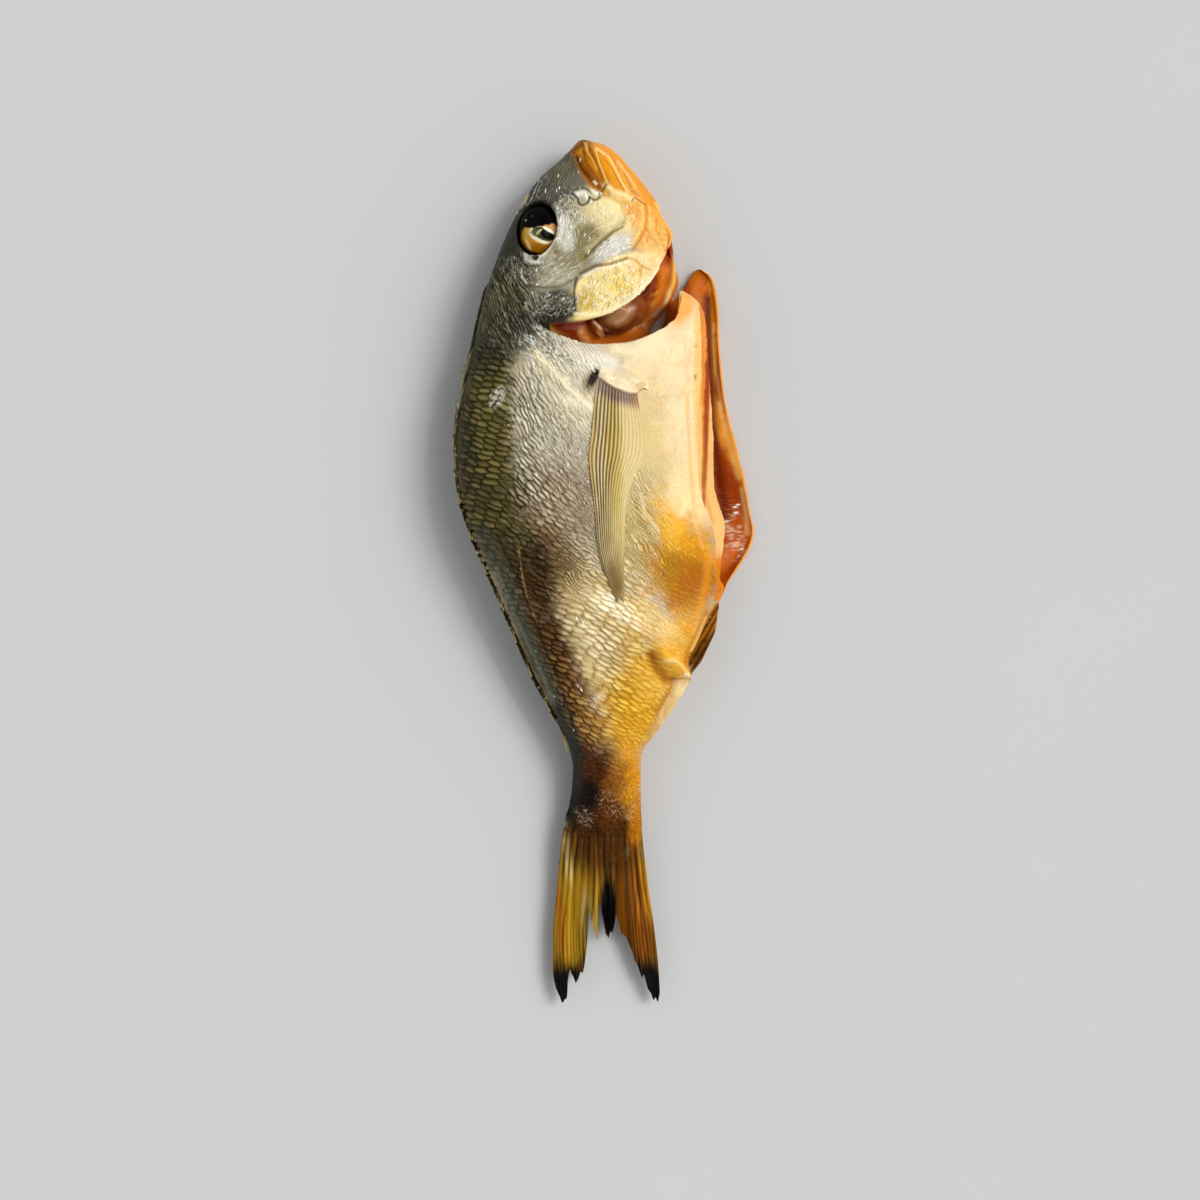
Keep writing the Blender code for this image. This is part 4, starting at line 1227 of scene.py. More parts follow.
HEAD_SKIN = Pelt(
    base=(152, 146, 124),
    tints=[
        Tint(-19, 106, 12, 8, 10, (170, 160, 134), 1.0, 0.4),
        Tint(-4, 118, 16, 9, 40, (138, 124, 82), 1.0, 0.4),
        Tint(-8, 127.5, 9, 6.0, 0, (170, 160, 128), 1.0, 0.35),
        Tint(-13, 119, 8, 2.8, 100, (224, 220, 206), 0.9),
        Tint(-19, 139, 27, 10, 50, (80, 77, 66), 1.0, 0.3),
        Tint(-9, 137, 8, 3.6, 20, (104, 98, 82), 0.9),
        Tint(-14, 141, 6, 3.2, 40, (92, 86, 56), 0.8, 0.6),
        Tint(-34, 112, 28, 8, 74, (50, 48, 36), 1.0, 0.4),
        Tint(-33, 95, 15, 9, 62, (62, 57, 32)),
        Tint(-38, 90, 16, 5, 70, (54, 51, 28)),
        Tint(5.5, 126, 11, 8, -30, (240, 218, 154)),
        Tint(9.4, 138.4, 20, 6.2, -56, (232, 162, 62), 1.0, 0.4),
        Tint(17, 126, 17, 6.0, -62, (226, 150, 46), 1.0, 0.6),
        Tint(3.6, 141.6, 12, 5.0, -54, (224, 146, 16), 1.0, 0.35),
        Tint(-3.4, 142.8, 12, 4.6, -58, (180, 108, 4), 1.0, 0.2),
        # Painted shade along the left side of the lip.
        Tint(-5.6, 141.6, 8, 1.8, -56, (128, 68, 0), 0.85),
        Tint(18, 117.4, 9, 6.4, -70, (238, 180, 92)),
        Tint(3.4, 113.8, 7.5, 3.2, 38, (208, 203, 190)),
        Tint(6.5, 102.8, 14, 7.6, 32, (246, 222, 152), 1.0, 0.14, 0.1),
        Tint(-1.6, 96.4, 8.4, 8.4, 0, (240, 216, 146), 1.0, 0.08, 0.05),
        Tint(15.5, 107, 8, 6, 50, (250, 212, 148), 1.0, 0.4),
        Tint(-5.4, 94, 5.4, 3.4, 80, (196, 164, 52), 0.85, 0.5, 0.5),
        Tint(8, 102, 8, 3, 32, (236, 200, 84), 0.6, 0.6, 0.5),
        Tint(-16.4, 93.2, 7.6, 5.4, 8, (76, 72, 58), 1.0, 0.25),
        Tint(-15, 89.2, 9, 2.4, 4, (34, 32, 26), 0.95, 0.4),
        Tint(-1, 89.6, 9, 2.4, 10, (238, 216, 140), 1.0, 0.3),
        Tint(-28, 87.5, 6, 3.2, 20, (26, 24, 16), 0.95),
        Tint(-27.4, 132.0, 3.2, 1.3, 64, (214, 184, 96), 0.95, 0.4),
        # Painted shade in the nostril's pit.
        Tint(-23.0, 110.0, 1.3, 1.1, 0, (38, 32, 26), 0.95, 0.3, 0.1),
    ],
    scales=[
        Strands(-20, 139, 22, 9, 50, 1.0, 2.4, 66, 0.20, 0.34, 0.20, 130, 0.4),
        Strands(6, 101, 14, 8, 30, 1.0, 2.2, 62, 0.16, 0.22, 0.20, 131, 0.3),
        Strands(-3, 116, 14, 8, 40, 0.8, 5.0, 43, 0.26, 0.46, 0.10, 132, 0.4),
        Strands(-12.5, 123, 8, 5, 90, 0.9, 2.6, 104, 0.30, 0.56, 0.30, 134, 0.4),
        Strands(-33, 96, 16, 9, 66, 1.0, 4.5, -64, 0.5, 0.72, 0.50, 6, 0.4),
        Strands(-18, 106, 9, 6, 0, 2.6, 5.0, 20, 0.25, 0.20, 0.25, 135, 0.4),
    ],
    lines=[
        Line([(0, 150.4), (4, 148), (9.5, 142), (17.5, 132), (24.4, 121), (25.6, 116.5)], 1.6, 0,
             (226, 144, 44), 0.8),
        Line([(-9.6, 149), (-7.4, 151)], 0.9, 0.1, (70, 50, 20)),
        Line([(-7, 151.6), (-6, 148)], 0.5, 0.2, (120, 70, 8)),
        Line([(-4.2, 151.6), (-4, 149)], 0.45, 0.2, (130, 76, 8)),
        # Painted highlight at the snout tip.
        Line([(-5.8, 151.4), (-5, 149)], 0.4, -0.3, (250, 206, 130), 0.6),
        Line([(-8.6, 147), (-5.2, 142), (-1.6, 137)], 1.3, -0.5),
        Line([(-8.6, 146), (-7.2, 142), (-4, 138.2), (-0.4, 135.2)], 0.6, 0.3, (74, 44, 8), 0.85),
        Line([(-6.4, 148.4), (-5.4, 144), (-3.2, 140.8), (-0.8, 137.4)], 0.5, 0.3, (120, 66, 2)),
        Line([(-4.6, 149.6), (-2.4, 145.4), (-0.4, 140.4), (0.6, 137)], 0.55, 0.3, (134, 76, 2)),
        # Painted highlights along the lip's folds.
        Line([(-5.6, 149), (-3.4, 145.6), (-1.6, 141.6)], 0.4, -0.2, (240, 186, 84), 0.6),
        Line([(-2.2, 148.8), (-0.8, 144), (0.6, 140.4), (2.0, 136.8)], 0.3, -0.15, (250, 214, 128), 0.75),
        Line([(1, 144.4), (3.2, 140.2), (5.8, 136.2), (7.2, 134)], 1.7, -0.2, (222, 148, 0), 0.85),
        # Painted highlight along the maxilla's fold.
        Line([(-2, 149.6), (2.6, 146.6), (4.8, 142.4), (6.8, 138), (9.2, 134)], 0.5, -0.2,
             (255, 214, 140), 0.8),
        Line([(1.4, 145.2), (3.2, 143.4), (5.6, 138.8), (7.8, 134.4)], 0.25, 0.2, (176, 98, 8)),
        Line([(3, 147.6), (6.6, 143.4), (9.4, 138.4), (10.8, 134.6)], 0.4, 0.25, (200, 122, 34), 0.65),
        # Painted highlight along the jaw's fold.
        Line([(5.6, 145.6), (9.6, 140), (12, 136)], 0.5, -0.3, (255, 212, 136), 0.6),
        Line([(1.6, 136), (4.2, 133.8), (8, 132.8), (10.4, 131.4)], 1.1, -0.3, (252, 226, 160), 0.8),
        Line([(0.8, 134.6), (2.8, 131.9), (6.4, 130.2), (9.6, 129.8)], 0.7, 0.2, (212, 166, 50)),
        Line([(7.0, 130), (7.2, 127.4), (8.2, 124.4), (7.6, 122.6)], 0.4, 0.2, (204, 166, 66), 0.5),
        Line([(-3.2, 138.4), (-0.8, 135.6)], 0.7, 0.2, (150, 88, 10), 0.6),
        # Painted highlight at the mouth's corner.
        Line([(-2.6, 137.2), (-1.8, 136.4)], 0.4, -0.2, (255, 240, 210), 0.8),
        Line([(11.4, 134.6), (13, 133.4)], 0.7, 0.2, (176, 118, 84), 0.5),
        Line([(11.6, 132.3), (13.4, 131.3), (15.6, 130.2)], 0.22, 0.3, (92, 50, 14), 0.8),
        Line([(10.6, 130.8), (11, 131.7)], 0.3, 0.3, (84, 44, 10)),
        Line([(15.6, 130), (16.0, 125.6), (15.4, 121.4), (13.4, 117), (11, 113.4)], 0.45, 0.35,
             (206, 124, 34)),
        Line([(16.4, 129.4), (17.0, 124.6), (16.6, 120.6)], 0.5, -0.3, (255, 206, 118), 0.6),
        Line([(14.2, 129.4), (14.4, 124.6), (13.0, 119.6), (10.6, 115.4)], 0.7, -0.3, (250, 208, 120), 0.55),
        Line([(12.4, 129.6), (12.2, 125.4), (10.6, 121)], 0.35, 0.25, (214, 154, 56), 0.55),
        Line([(15.4, 121.6), (16.6, 119.4), (16, 116.6)], 0.35, 0.25, (216, 140, 56), 0.6),
        Line([(18.6, 128.4), (20.8, 124), (22.6, 120.4)], 0.8, -0.4, (250, 184, 78), 0.5),
        Line([(19.2, 125), (19.4, 120.6), (21.4, 117.4)], 0.3, 0.25, (212, 136, 48), 0.6),
        Line([(22.4, 121.6), (24, 118.6), (23.6, 115.8), (22.6, 114)], 0.35, 0.2, (170, 98, 30), 0.6),
        # Painted highlights beside the curl crease.
        Line([(-8.8, 132.4), (-6.2, 132.8), (-5.2, 131)], 1.0, -0.7, (246, 244, 232), 0.85),
        Line([(-3.4, 133.4), (-1.8, 132.8)], 0.8, -0.5, (246, 244, 230), 0.8),
        Line([(-10.4, 132.8), (-8.4, 131), (-7.9, 129.2), (-6.5, 128.6), (-4.8, 129.6), (-4.2, 131.4)],
             0.38, 0.7,
             (52, 42, 22), 0.9),
        Line([(-4.2, 131.4), (-2.4, 130.5), (-0.8, 131.4), (-0.4, 133), (0.8, 134.8), (1.6, 136.4)],
             0.38, 0.6,
             (70, 54, 22), 0.9),
        Line([(-9.8, 133.6), (-7.4, 135), (-5, 134.4), (-3.8, 133)], 0.3, 0.4, (66, 58, 38), 0.8),
        Line([(7.6, 122.8), (-0.5, 115.9), (-6.5, 109.9)], 0.9, 0.7, (128, 116, 60), 0.6),
        Line([(8.6, 124.2), (0.4, 117.6), (-5, 112.5)], 0.9, -0.4, (206, 196, 148), 0.5),
        Line([(-7.5, 104.2), (-2.5, 106.9), (3, 108.0), (8.8, 110.2)], 0.45, 0.8, (110, 80, 40), 0.75),
        Line([(-6.3, 103.2), (-2.0, 105.8), (3.2, 106.8), (8.8, 109.0)], 0.7, -0.5, (252, 238, 200), 0.6),
        Line([(8.8, 110.4), (12, 109.6), (13.6, 108.0), (17, 106.6)], 0.4, 0.4, (206, 146, 70), 0.6),
        Line([(-8.8, 102.6), (-9.6, 98), (-9.4, 91)], 0.5, 0.6, (52, 44, 24), 0.85),
        Line([(-9, 90.0), (-4, 89.6), (0, 90.3), (4, 91.8), (9, 94.8), (13, 98.4), (17, 102.8), (20, 107)],
             0.8, -0.4, (252, 236, 186), 0.8),
        Line([(-28.4, 107), (-28.2, 103), (-26.6, 100.2), (-20, 99.2), (-14, 99.6), (-10, 102)], 0.45, 0.4,
             (92, 86, 66)),
        # The pale lines round the eye here are silver skin with painted highlight; the dark one is a crease.
        Line([(-28.0, 106), (-27.6, 103), (-26, 100.9)], 0.4, -0.4, (232, 228, 214), 0.8),
        Line([(-16.2, 116.5), (-18.6, 112.4), (-22, 109.2)], 0.45, -0.6, (226, 222, 204), 0.8),
        Line([(-26.4, 111.4), (-26.2, 109.2), (-24.4, 108.2), (-22, 108.0)],
             0.7, -0.5, (226, 222, 208), 0.85),
        Line([(-28.0, 110.4), (-27.4, 108.2), (-25.4, 106.9), (-22, 107.2)], 0.3, 0.4, (52, 46, 34), 0.8),
        Line([(-24.6, 111.6), (-23.4, 111.8), (-22, 111.4), (-21.4, 110)], 0.35, -0.3, (214, 208, 190), 0.8),
        Line([(7.6, 121.4), (4.4, 119.6), (-0.4, 115.6), (-5.4, 110.4)], 0.35, 0.4, (104, 88, 30), 0.75),
    ],
    wrinkles=[
        Wrinkles(16, 124, 14, 6, -62, 1.0, 3.4, -66, 0.12, (252, 212, 140), 0.5, 118, 0.08),
        Wrinkles(16, 122, 14, 6, -62, 0.9, 3.8, -66, 0.12, (196, 118, 30), 0.4, 117, 0.10),
        Wrinkles(0, 142, 10, 5, -58, 0.8, 4.0, -60, 0.12, (150, 86, 4), 0.5, 116, 0.10),
        Wrinkles(8, 138, 12, 3.4, -58, 0.9, 3.6, -60, 0.12, (255, 214, 144), 0.4, 115, 0.10),
        Wrinkles(5, 126, 8, 6, 0, 1.1, 1.8, -50, 0.2, (255, 246, 216), 0.5, 114, 0.08),
        # Silver skin with painted highlight: near-white wrinkles standing in for glints.
        Wrinkles(-7, 128, 10, 6, 0, 1.9, 1.5, 40, 0.55, (240, 238, 222), 0.65, 122, 0.06),
        Wrinkles(-13, 122, 9, 4, 100, 1.2, 2.6, 100, 0.3, (240, 236, 220), 0.7, 123, 0.10),
        Wrinkles(-6, 117, 10, 6, 43, 1.2, 4.0, 43, 0.2, (226, 216, 176), 0.4, 120, 0.04),
        # Silver skin with painted highlight: near-white wrinkles.
        Wrinkles(4, 114, 8, 4, 30, 1.1, 2.0, 30, 0.3, (250, 246, 232), 0.7, 124, 0.14),
        Wrinkles(-30, 106, 4, 6, 60, 1.6, 1.6, 60, 0.3, (190, 188, 176), 0.6, 125, 0.06),
        Wrinkles(-16, 106, 11, 6, 10, 1.4, 3.2, 30, 0.2, (228, 224, 208), 0.6, 98, 0.07),
        Wrinkles(-10, 108, 12, 7, 30, 1.3, 3.6, 38, 0.1, (120, 110, 78), 0.5, 97, 0.07),
        Wrinkles(-26, 91, 9, 6, 60, 1.5, 2.4, -64, 0.4, (170, 168, 148), 0.7, 126, 0.11),
        Wrinkles(-32, 98, 13, 6, 66, 1.9, 3.8, -62, 0.3, (158, 152, 120), 0.6, 113, 0.07),
        Wrinkles(-33, 97, 13, 7, 66, 1.7, 3.6, -66, 0.3, (14, 12, 6), 0.75, 112, 0.12),
        Wrinkles(5, 101, 15, 8, 30, 1.8, 1.8, 62, 0.35, (190, 146, 40), 0.6, 127, 0.08),
        # Painted highlight: near-white wrinkles on the gill cover.
        Wrinkles(5, 101, 15, 8, 30, 1.4, 2.2, 62, 0.35, (255, 250, 232), 0.6, 121, 0.08),
        Wrinkles(-16, 93, 7, 4, 10, 1.0, 1.5, 30, 0.3, (190, 188, 174), 0.75, 128, 0.09),
        Wrinkles(-14, 129, 6, 3.4, 60, 1.1, 1.5, 30, 0.3, (50, 48, 42), 0.8, 119, 0.14),
        Wrinkles(-26, 134, 10, 4, 50, 1.6, 2.0, 70, 0.25, (196, 194, 182), 0.7, 129, 0.10),
    ],
    sparkles=[
        Sparkles(-16, 132, 22, 8, 60, 0.7, 0.03, 141),
        Sparkles(-6, 118, 16, 10, 40, 0.7, 0.03, 142),
        Sparkles(-16, 95, 12, 6, 10, 0.7, 0.04, 143),
    ],
    pits=[Pit(-22.5, 120.6, 10.4, 7.4, 80, 5.4), Pit(-23.0, 110.0, 1.3, 1.1, 0, 1.8, 0.5, 0.5)],
    grain=0.08,
    plan=0.981,
)

MEAT = Pelt(
    base=(168, 70, 4),
    tints=[
        Tint(38.8, 84, 26, 1.8, 89, (240, 148, 44), 1.0, 0.4),
        Tint(34.5, 100, 7, 3, 100, (206, 108, 22), 0.9),
        Tint(44.0, 48, 19, 2.8, 112, (240, 156, 54), 1.0, 0.4),
        Tint(45.0, 31, 13, 3.6, 102, (144, 52, 2), 0.95),
        Tint(47, 14, 8, 4, 90, (176, 78, 14), 0.9),
        Tint(44.5, 6, 7, 2.4, 60, (196, 96, 26), 0.9),
    ],
    lines=[
        # Painted shade in the cavity beside the near flap's edge.
        Line([(37.4, 97), (37.8, 80), (39.2, 55), (40.4, 40), (42.4, 27), (43.6, 20)], 1.8, 0.2,
             (96, 18, 0), 0.95),
        Line([(39.2, 83.8), (40.4, 84)], 0.5, 0.3, (120, 56, 10), 0.8),
        # Painted highlights along the far flap's rim.
        Line([(49.6, 30), (51.2, 20), (51.6, 14)], 0.7, -0.4, (240, 190, 120)),
        Line([(39.6, 88), (40.4, 72), (42.4, 58)], 0.5, -0.4, (252, 190, 110)),
        Line([(41.5, 60), (45.5, 46), (48.6, 34)], 0.8, -0.5, (252, 194, 110)),
    ],
    # Painted gloss: whitish wet streaks.
    wrinkles=[Wrinkles(46.5, 14, 10, 4, 100, 1.2, 2.4, 60, 0.3, (252, 226, 190), 0.5, 151, 0.10)],
    sparkles=[Sparkles(47, 16, 12, 4, 100, 0.8, 0.04, 152)],
    grain=0.10,
    rough=0.3,
    plan=0.995,
)


# --- The body's pieces ------------------------------------------------------------------------------


@dataclass
class BodyPiece:
    """A run of cross-sections with its skins, ready to build.

    rounded says which ends are thin walls that get rounded over, and pelts which skin each stretch has.
    """

    name: str
    rings: Rings
    pelts: dict[str, Pelt]
    rounded_front: bool = False
    rounded_back: bool = False

    def surface(self) -> Surface:
        """Displace the cross-sections along their normals, paint them and close both ends.

        Returns:
            The finished surface.
        """
        self._round_over()
        points, normal = self.rings.points, outward(self.rings.points)
        rows, columns = points.shape[:2]
        height, rough = np.zeros((rows, columns)), np.full((rows, columns), 0.4)
        colour = np.zeros((rows, columns, 3))
        for name, span in self.rings.spans.items():
            part = points[:, span]
            x, y = part[..., 0], part[..., 1]
            pelt = self.pelts[name]
            values = pelt.apply(x, y, arc_across(part, x) if part.shape[1] > 1 else x)
            height[:, span], colour[:, span], rough[:, span] = values
        height = self._calm(height)
        sink = np.zeros((rows, columns))
        for name, span in self.rings.spans.items():
            sink[:, span] = self.pelts[name].sink(points[:, span, 0], points[:, span, 1])
        points = points + normal * height[..., None]
        points[..., 2] = np.maximum(points[..., 2] + sink, 0.03)
        faces = grid_faces(rows, columns, True)
        front, back = lid(self.rings, 0, True), lid(self.rings, -1, False)
        ring = np.arange(columns)
        edge = np.column_stack([ring, np.roll(ring, -1)])
        sharp = np.vstack([edge, edge + (rows - 1) * columns])
        return Surface(points, faces, np.vstack([front, back]), colour, rough, sharp)

    def _round_over(self) -> None:
        """Add the rows that round thin ends over."""
        rows = [self.rings.points]
        if self.rounded_front:
            rows.insert(0, rounded_end(self.rings, True, 1.1)[::-1])
        if self.rounded_back:
            rows.append(rounded_end(self.rings, False, 1.0))
        self.rings = Rings(np.concatenate(rows), self.rings.spans)

    def _calm(self, height: Array) -> Array:
        """Blend the relief across the places where one stretch meets the next."""
        out = height.copy()
        for span in self.rings.spans.values():
            at = span.start
            for k in range(3):
                left, right = at - 1 - k, (at + k) % height.shape[1]
                middle = (height[:, left] + height[:, right]) / 2
                share = (3 - k) / 3
                out[:, left] = mix(height[:, left], middle, share)
                out[:, right] = mix(height[:, right], middle, share)
        return out


@dataclass
class Trunk:
    """The trunk: three lengths cut open along the belly, and two whole ones behind the vent."""

    step: float = 0.27
    columns: Columns = field(default_factory=Columns)
    cuts: tuple[float, ...] = (SHOULDER_Y, 62.5, 26.5, VENT_Y)

    def hollow(self, station: Array) -> Hollow:
        """The gutted hollow at each station."""
        depth = 0.42 + 0.2 * ramp(55, 92, station)
        return Hollow(ramp(-10, 14, station), depth, np.full_like(station, 3.0), 5.0, 0.0)

    def pieces(self) -> list[BodyPiece]:
        """Each length as a piece.

        Returns:
            The pieces from the shoulder to the tail root.
        """
        pelts = {"over": TRUNK_SKIN, "cut": CUT_EDGE, "lip": CUT_EDGE, "ceiling": MEAT, "floor": MEAT,
                 "rim": FAR_RIM, "under": UNDER_SKIN, "keel": TRUNK_SKIN}
        found = []
        for number, (start, stop) in enumerate(zip(self.cuts, self.cuts[1:])):
            station = self._stations(start, stop)
            rings = cross_sections(TrunkSides(station), self.hollow(station), self.columns)
            found.append(BodyPiece(f"trunk_{number + 1}", rings, pelts, rounded_front=number == 0))
        whole = (("behind_vent", VENT_Y, STALK_FRONT_Y), ("stalk", STALK_FRONT_Y, STALK_END_Y))
        for name, start, stop in whole:
            rings = cross_sections(TrunkSides(self._stations(start, stop)), None, self.columns)
            found.append(BodyPiece("trunk_" + name, rings, pelts | {"cut": TRUNK_SKIN}))
        return found

    def _stations(self, start: float, stop: float) -> Array:
        """Evenly spaced stations as a column."""
        return np.linspace(start, stop, int(abs(stop - start) / self.step) + 2)[:, None]


@dataclass
class Head:
    """The head: the face in front, and the gill covers parted round their chamber behind."""

    columns: Columns = field(default_factory=Columns)
    rows_face: int = 180
    rows_covers: int = 150
    parting: float = 0.6

    def pieces(self) -> list[BodyPiece]:
        """The face and the gill covers.

        Returns:
            Both pieces.
        """
        pelts = {"over": HEAD_SKIN, "cut": HEAD_SKIN, "lip": COVER_EDGE, "ceiling": CHAMBER, "floor": CHAMBER,
                 "rim": COVER_EDGE, "under": UNDER_HEAD, "keel": HEAD_SKIN}
        count = Columns(self.columns.over, 0, self.columns.lip, self.columns.sheet, self.columns.under)
        t = np.linspace(0, 1, self.rows_face)[:, None]
        u = 0.003 + (self.parting - 0.003) * mix(t**2, t, 0.5)
        face = cross_sections(HeadSides(u), None, count)
        u = np.linspace(self.parting, 1.0, self.rows_covers)[:, None]
        wall = mix(2.2, 1.0, ramp(0.85, 1.0, u))
        hollow = Hollow(ramp(0.6, 0.88, u), np.full_like(u, 0.36), wall, 1.8, -1.6)
        covers = cross_sections(HeadSides(u), hollow, count)
        return [
            BodyPiece("face", face, pelts),
            BodyPiece("gill_covers", covers, pelts, rounded_back=True),
        ]


CUT_EDGE = Pelt(
    base=(236, 180, 108),
    tints=[
        Tint(36.5, 80, 26, 1.6, 90, (224, 132, 44), 0.9),
        # Painted shade where the cut edge drops into the cavity.
        Tint(37.6, 60, 44, 1.0, 88, (150, 50, 6), 0.95, 0.4),
        Tint(41, -3, 10, 4, 80, (208, 120, 16), 1.0, 0.4),
    ],
    lines=[Line([(35.6, 97), (36.2, 76), (36.4, 52), (36.8, 30), (40, 18)], 0.5, 0.2, (206, 124, 40), 0.5)],
    grain=0.12,
    rough=0.35,
)
FAR_RIM = Pelt((232, 146, 40), grain=0.10, rough=0.3)
COVER_EDGE = Pelt((240, 180, 92), grain=0.05, rough=0.35)
CHAMBER = Pelt(
    base=(158, 50, 3),
    tints=[
        Tint(-13, 84, 7, 3.0, -24, (140, 44, 4), 0.9),
        # Dark red under the cover's edge, partly the flesh's own colour and partly painted shade.
        Tint(16, 99, 8, 2.6, 64, (104, 12, 0), 0.95),
        Tint(-4.6, 84, 3.6, 3.0, -50, (220, 122, 34), 0.95, 0.3),
    ],
    lines=[
        Line([(-5, 82.4), (1, 82.0), (7, 82.4), (11, 84.2), (14.6, 88), (18, 93.6), (20.8, 100), (22.2, 107)],
             2.2, -0.2, (232, 128, 26), 0.95),
        Line([(-20, 86.8), (-16, 84.2), (-11, 81.8), (-7, 80.6), (0, 80.2), (7, 80.6), (11, 82), (15, 84.4),
              (18.4, 88), (22.6, 95), (25.4, 103), (25.8, 111)], 1.0, -0.4, (255, 186, 84), 0.9),
        # Partly painted shade: a dark red line under the cover's edge.
        Line([(13, 87.6), (16.4, 92), (18.4, 98), (19.4, 104)], 0.6, 0.4, (130, 40, 4), 0.8),
        Line([(-8, 86.6), (-6.8, 83.4), (-3.4, 81.8)], 0.4, -0.5, (255, 206, 140), 0.85),
        # Painted wet highlights: the small near-white lines that follow.
        Line([(-3.7, 81.4), (-2.8, 82.4)], 0.45, -0.3, (255, 246, 230), 0.95),
        Line([(10.2, 81.9), (12, 82.7)], 0.45, -0.3, (255, 246, 226), 0.95),
        Line([(14.2, 86.4), (15, 88)], 0.45, -0.3, (255, 246, 226), 0.9),
        Line([(18.2, 90.4), (19.8, 93.2)], 0.5, -0.3, (255, 232, 190), 0.9),
        Line([(22.6, 96), (24, 100)], 0.5, -0.3, (255, 226, 160), 0.8),
        Line([(16, 90.6), (18, 94.6), (19.2, 99)], 0.3, -0.2, (250, 170, 80)),
    ],
    wrinkles=[Wrinkles(8, 86, 18, 8, 40, 2.4, 3.0, 40, 0.3, (255, 190, 110), 0.35, 163, 0.05)],
    grain=0.10,
    rough=0.22,
    plan=0.995,
)
UNDER_SKIN = Pelt((168, 152, 124), TRUNK_SKIN.tints, TRUNK_SKIN.scales, grain=0.05)
UNDER_HEAD = Pelt(
    (150, 142, 118),
    HEAD_SKIN.tints,
    lines=[
        Line([(-20, 86.8), (-11, 81.8), (0, 80.2), (10, 81.3), (15, 84.2), (18.5, 88), (23.7, 96),
              (26.4, 106)],
             3.0, 0, (216, 122, 34), 1.0),
    ],
    grain=0.07,
)


# --- Eyes -------------------------------------------------------------------------------------------

EYE_PLACE = (-21.9, 117.2)
EYE_TURN = -10.0
# How far the middle of the upper ball lies below the skin, and the height of the lower ball's middle.
EYE_SUNK, LOWER_EYE_Z = 5.7, 11.2


@dataclass
class Eye:
    """An eye: a glossy ball, leaning with the head's side, with a dark lens in a gold ring.

    z is the height of its middle, side 1 for the upper flank and -1 for the lower, lean its slope across
    and long, wide and deep its half sizes.
    """

    z: float
    side: int
    lean: float
    long: float = 9.8
    wide: float = 7.3
    deep: float = 5.6
    rings: int = 120
    segments: int = 160

    def surface(self) -> Surface:
        """An oval ball, sheared to lean; colours follow from the place on its face.

        Returns:
            The ball.
        """
        turn = turns(self.segments)[None, :]
        tilt = np.linspace(0.02, math.pi - 0.02, self.rings)[:, None]
        a = np.sin(tilt) * np.cos(turn) * self.wide
        b = np.sin(tilt) * np.sin(turn) * self.long
        lens = 0.8 * np.exp(-((a - 0.9) ** 2 + (b + 1.3) ** 2) / 9.0) * (np.cos(tilt) > 0)
        c = (np.cos(tilt) * self.deep + lens) * self.side
        x, y = turned(a, b, -EYE_TURN)
        points = np.stack([x + EYE_PLACE[0], y + EYE_PLACE[1], c + self.z + self.lean * a], -1)
        return closed_tube(points, self._iris(a, b), np.full(points.shape[:2], 0.2))

    def _iris(self, a: Array, b: Array) -> Array:
        """Colour at a place on the face of the eye.

        Args:
            a: millimetres across.
            b: millimetres to the front.

        Returns:
            The colour.
        """
        grain = layered(a / 1.2, b / 1.2, 3, 41)
        a, b = a - 1.2, b + 1.8
        tints = [
            Tint(-0.2, 0, 6.7, 5.6, 0, (74, 42, 8), 1.0, 0.05, 0.03),
            Tint(-0.2, 0, 6.3, 5.3, 0, (176, 116, 18), 1.0, 0.08, 0.05),
            Tint(-0.3, 0.3, 4.9, 4.4, 0, (206, 150, 46), 0.9, 0.2, 0.15),
            # Painted shade along the bottom of the ring.
            Tint(1.0, -3.7, 4.0, 1.5, -4, (156, 96, 4), 0.85, 0.5, 0.2),
            Tint(-4.4, 1.0, 1.2, 3.0, 0, (196, 162, 76), 0.8, 0.5, 0.2),
            Tint(-3.6, -3.2, 2.2, 0.5, -52, (250, 214, 140), 0.8, 0.4, 0.2),
            Tint(0.2, 0.5, 4.3, 2.6, -14, (252, 240, 200), 1.0, 0.07, 0.05),
            Tint(0.9, 1.0, 3.9, 2.05, -14, (66, 58, 30), 1.0, 0.07, 0.05),
            Tint(-1.5, 1.0, 1.9, 1.3, -20, (92, 96, 62), 0.9, 0.3, 0.6),
            Tint(2.4, 0.9, 2.4, 1.35, -10, (6, 8, 5), 1.0, 0.14, 0.10),
            # Painted glint on the lens.
            Tint(-0.6, 1.5, 1.3, 0.35, 54, (216, 198, 150), 0.9, 0.3, 0.4),
            Tint(2.8, 3.9, 3.2, 1.4, -12, (204, 150, 90), 1.0, 0.2, 0.2),
            # Painted highlight on the lens.
            Tint(2.4, 2.7, 2.4, 0.5, -20, (255, 248, 226), 1.0, 0.2, 0.2),
            Tint(-3.6, 10.0, 9.8, 7.4, 10, (4, 3, 2), 1.0, 0.04, 0.08),
            # Painted reflections on the black cap.
            Tint(-5.9, 5.0, 0.28, 0.28, 0, (190, 184, 176), 0.9, 0.4),
            Tint(-3.9, 6.7, 0.3, 0.2, 0, (120, 100, 90), 0.6, 0.4),
        ]
        return painted(shade(12, 9, 6), tints, a, b, grain)


# --- Fins and small parts ---------------------------------------------------------------------------


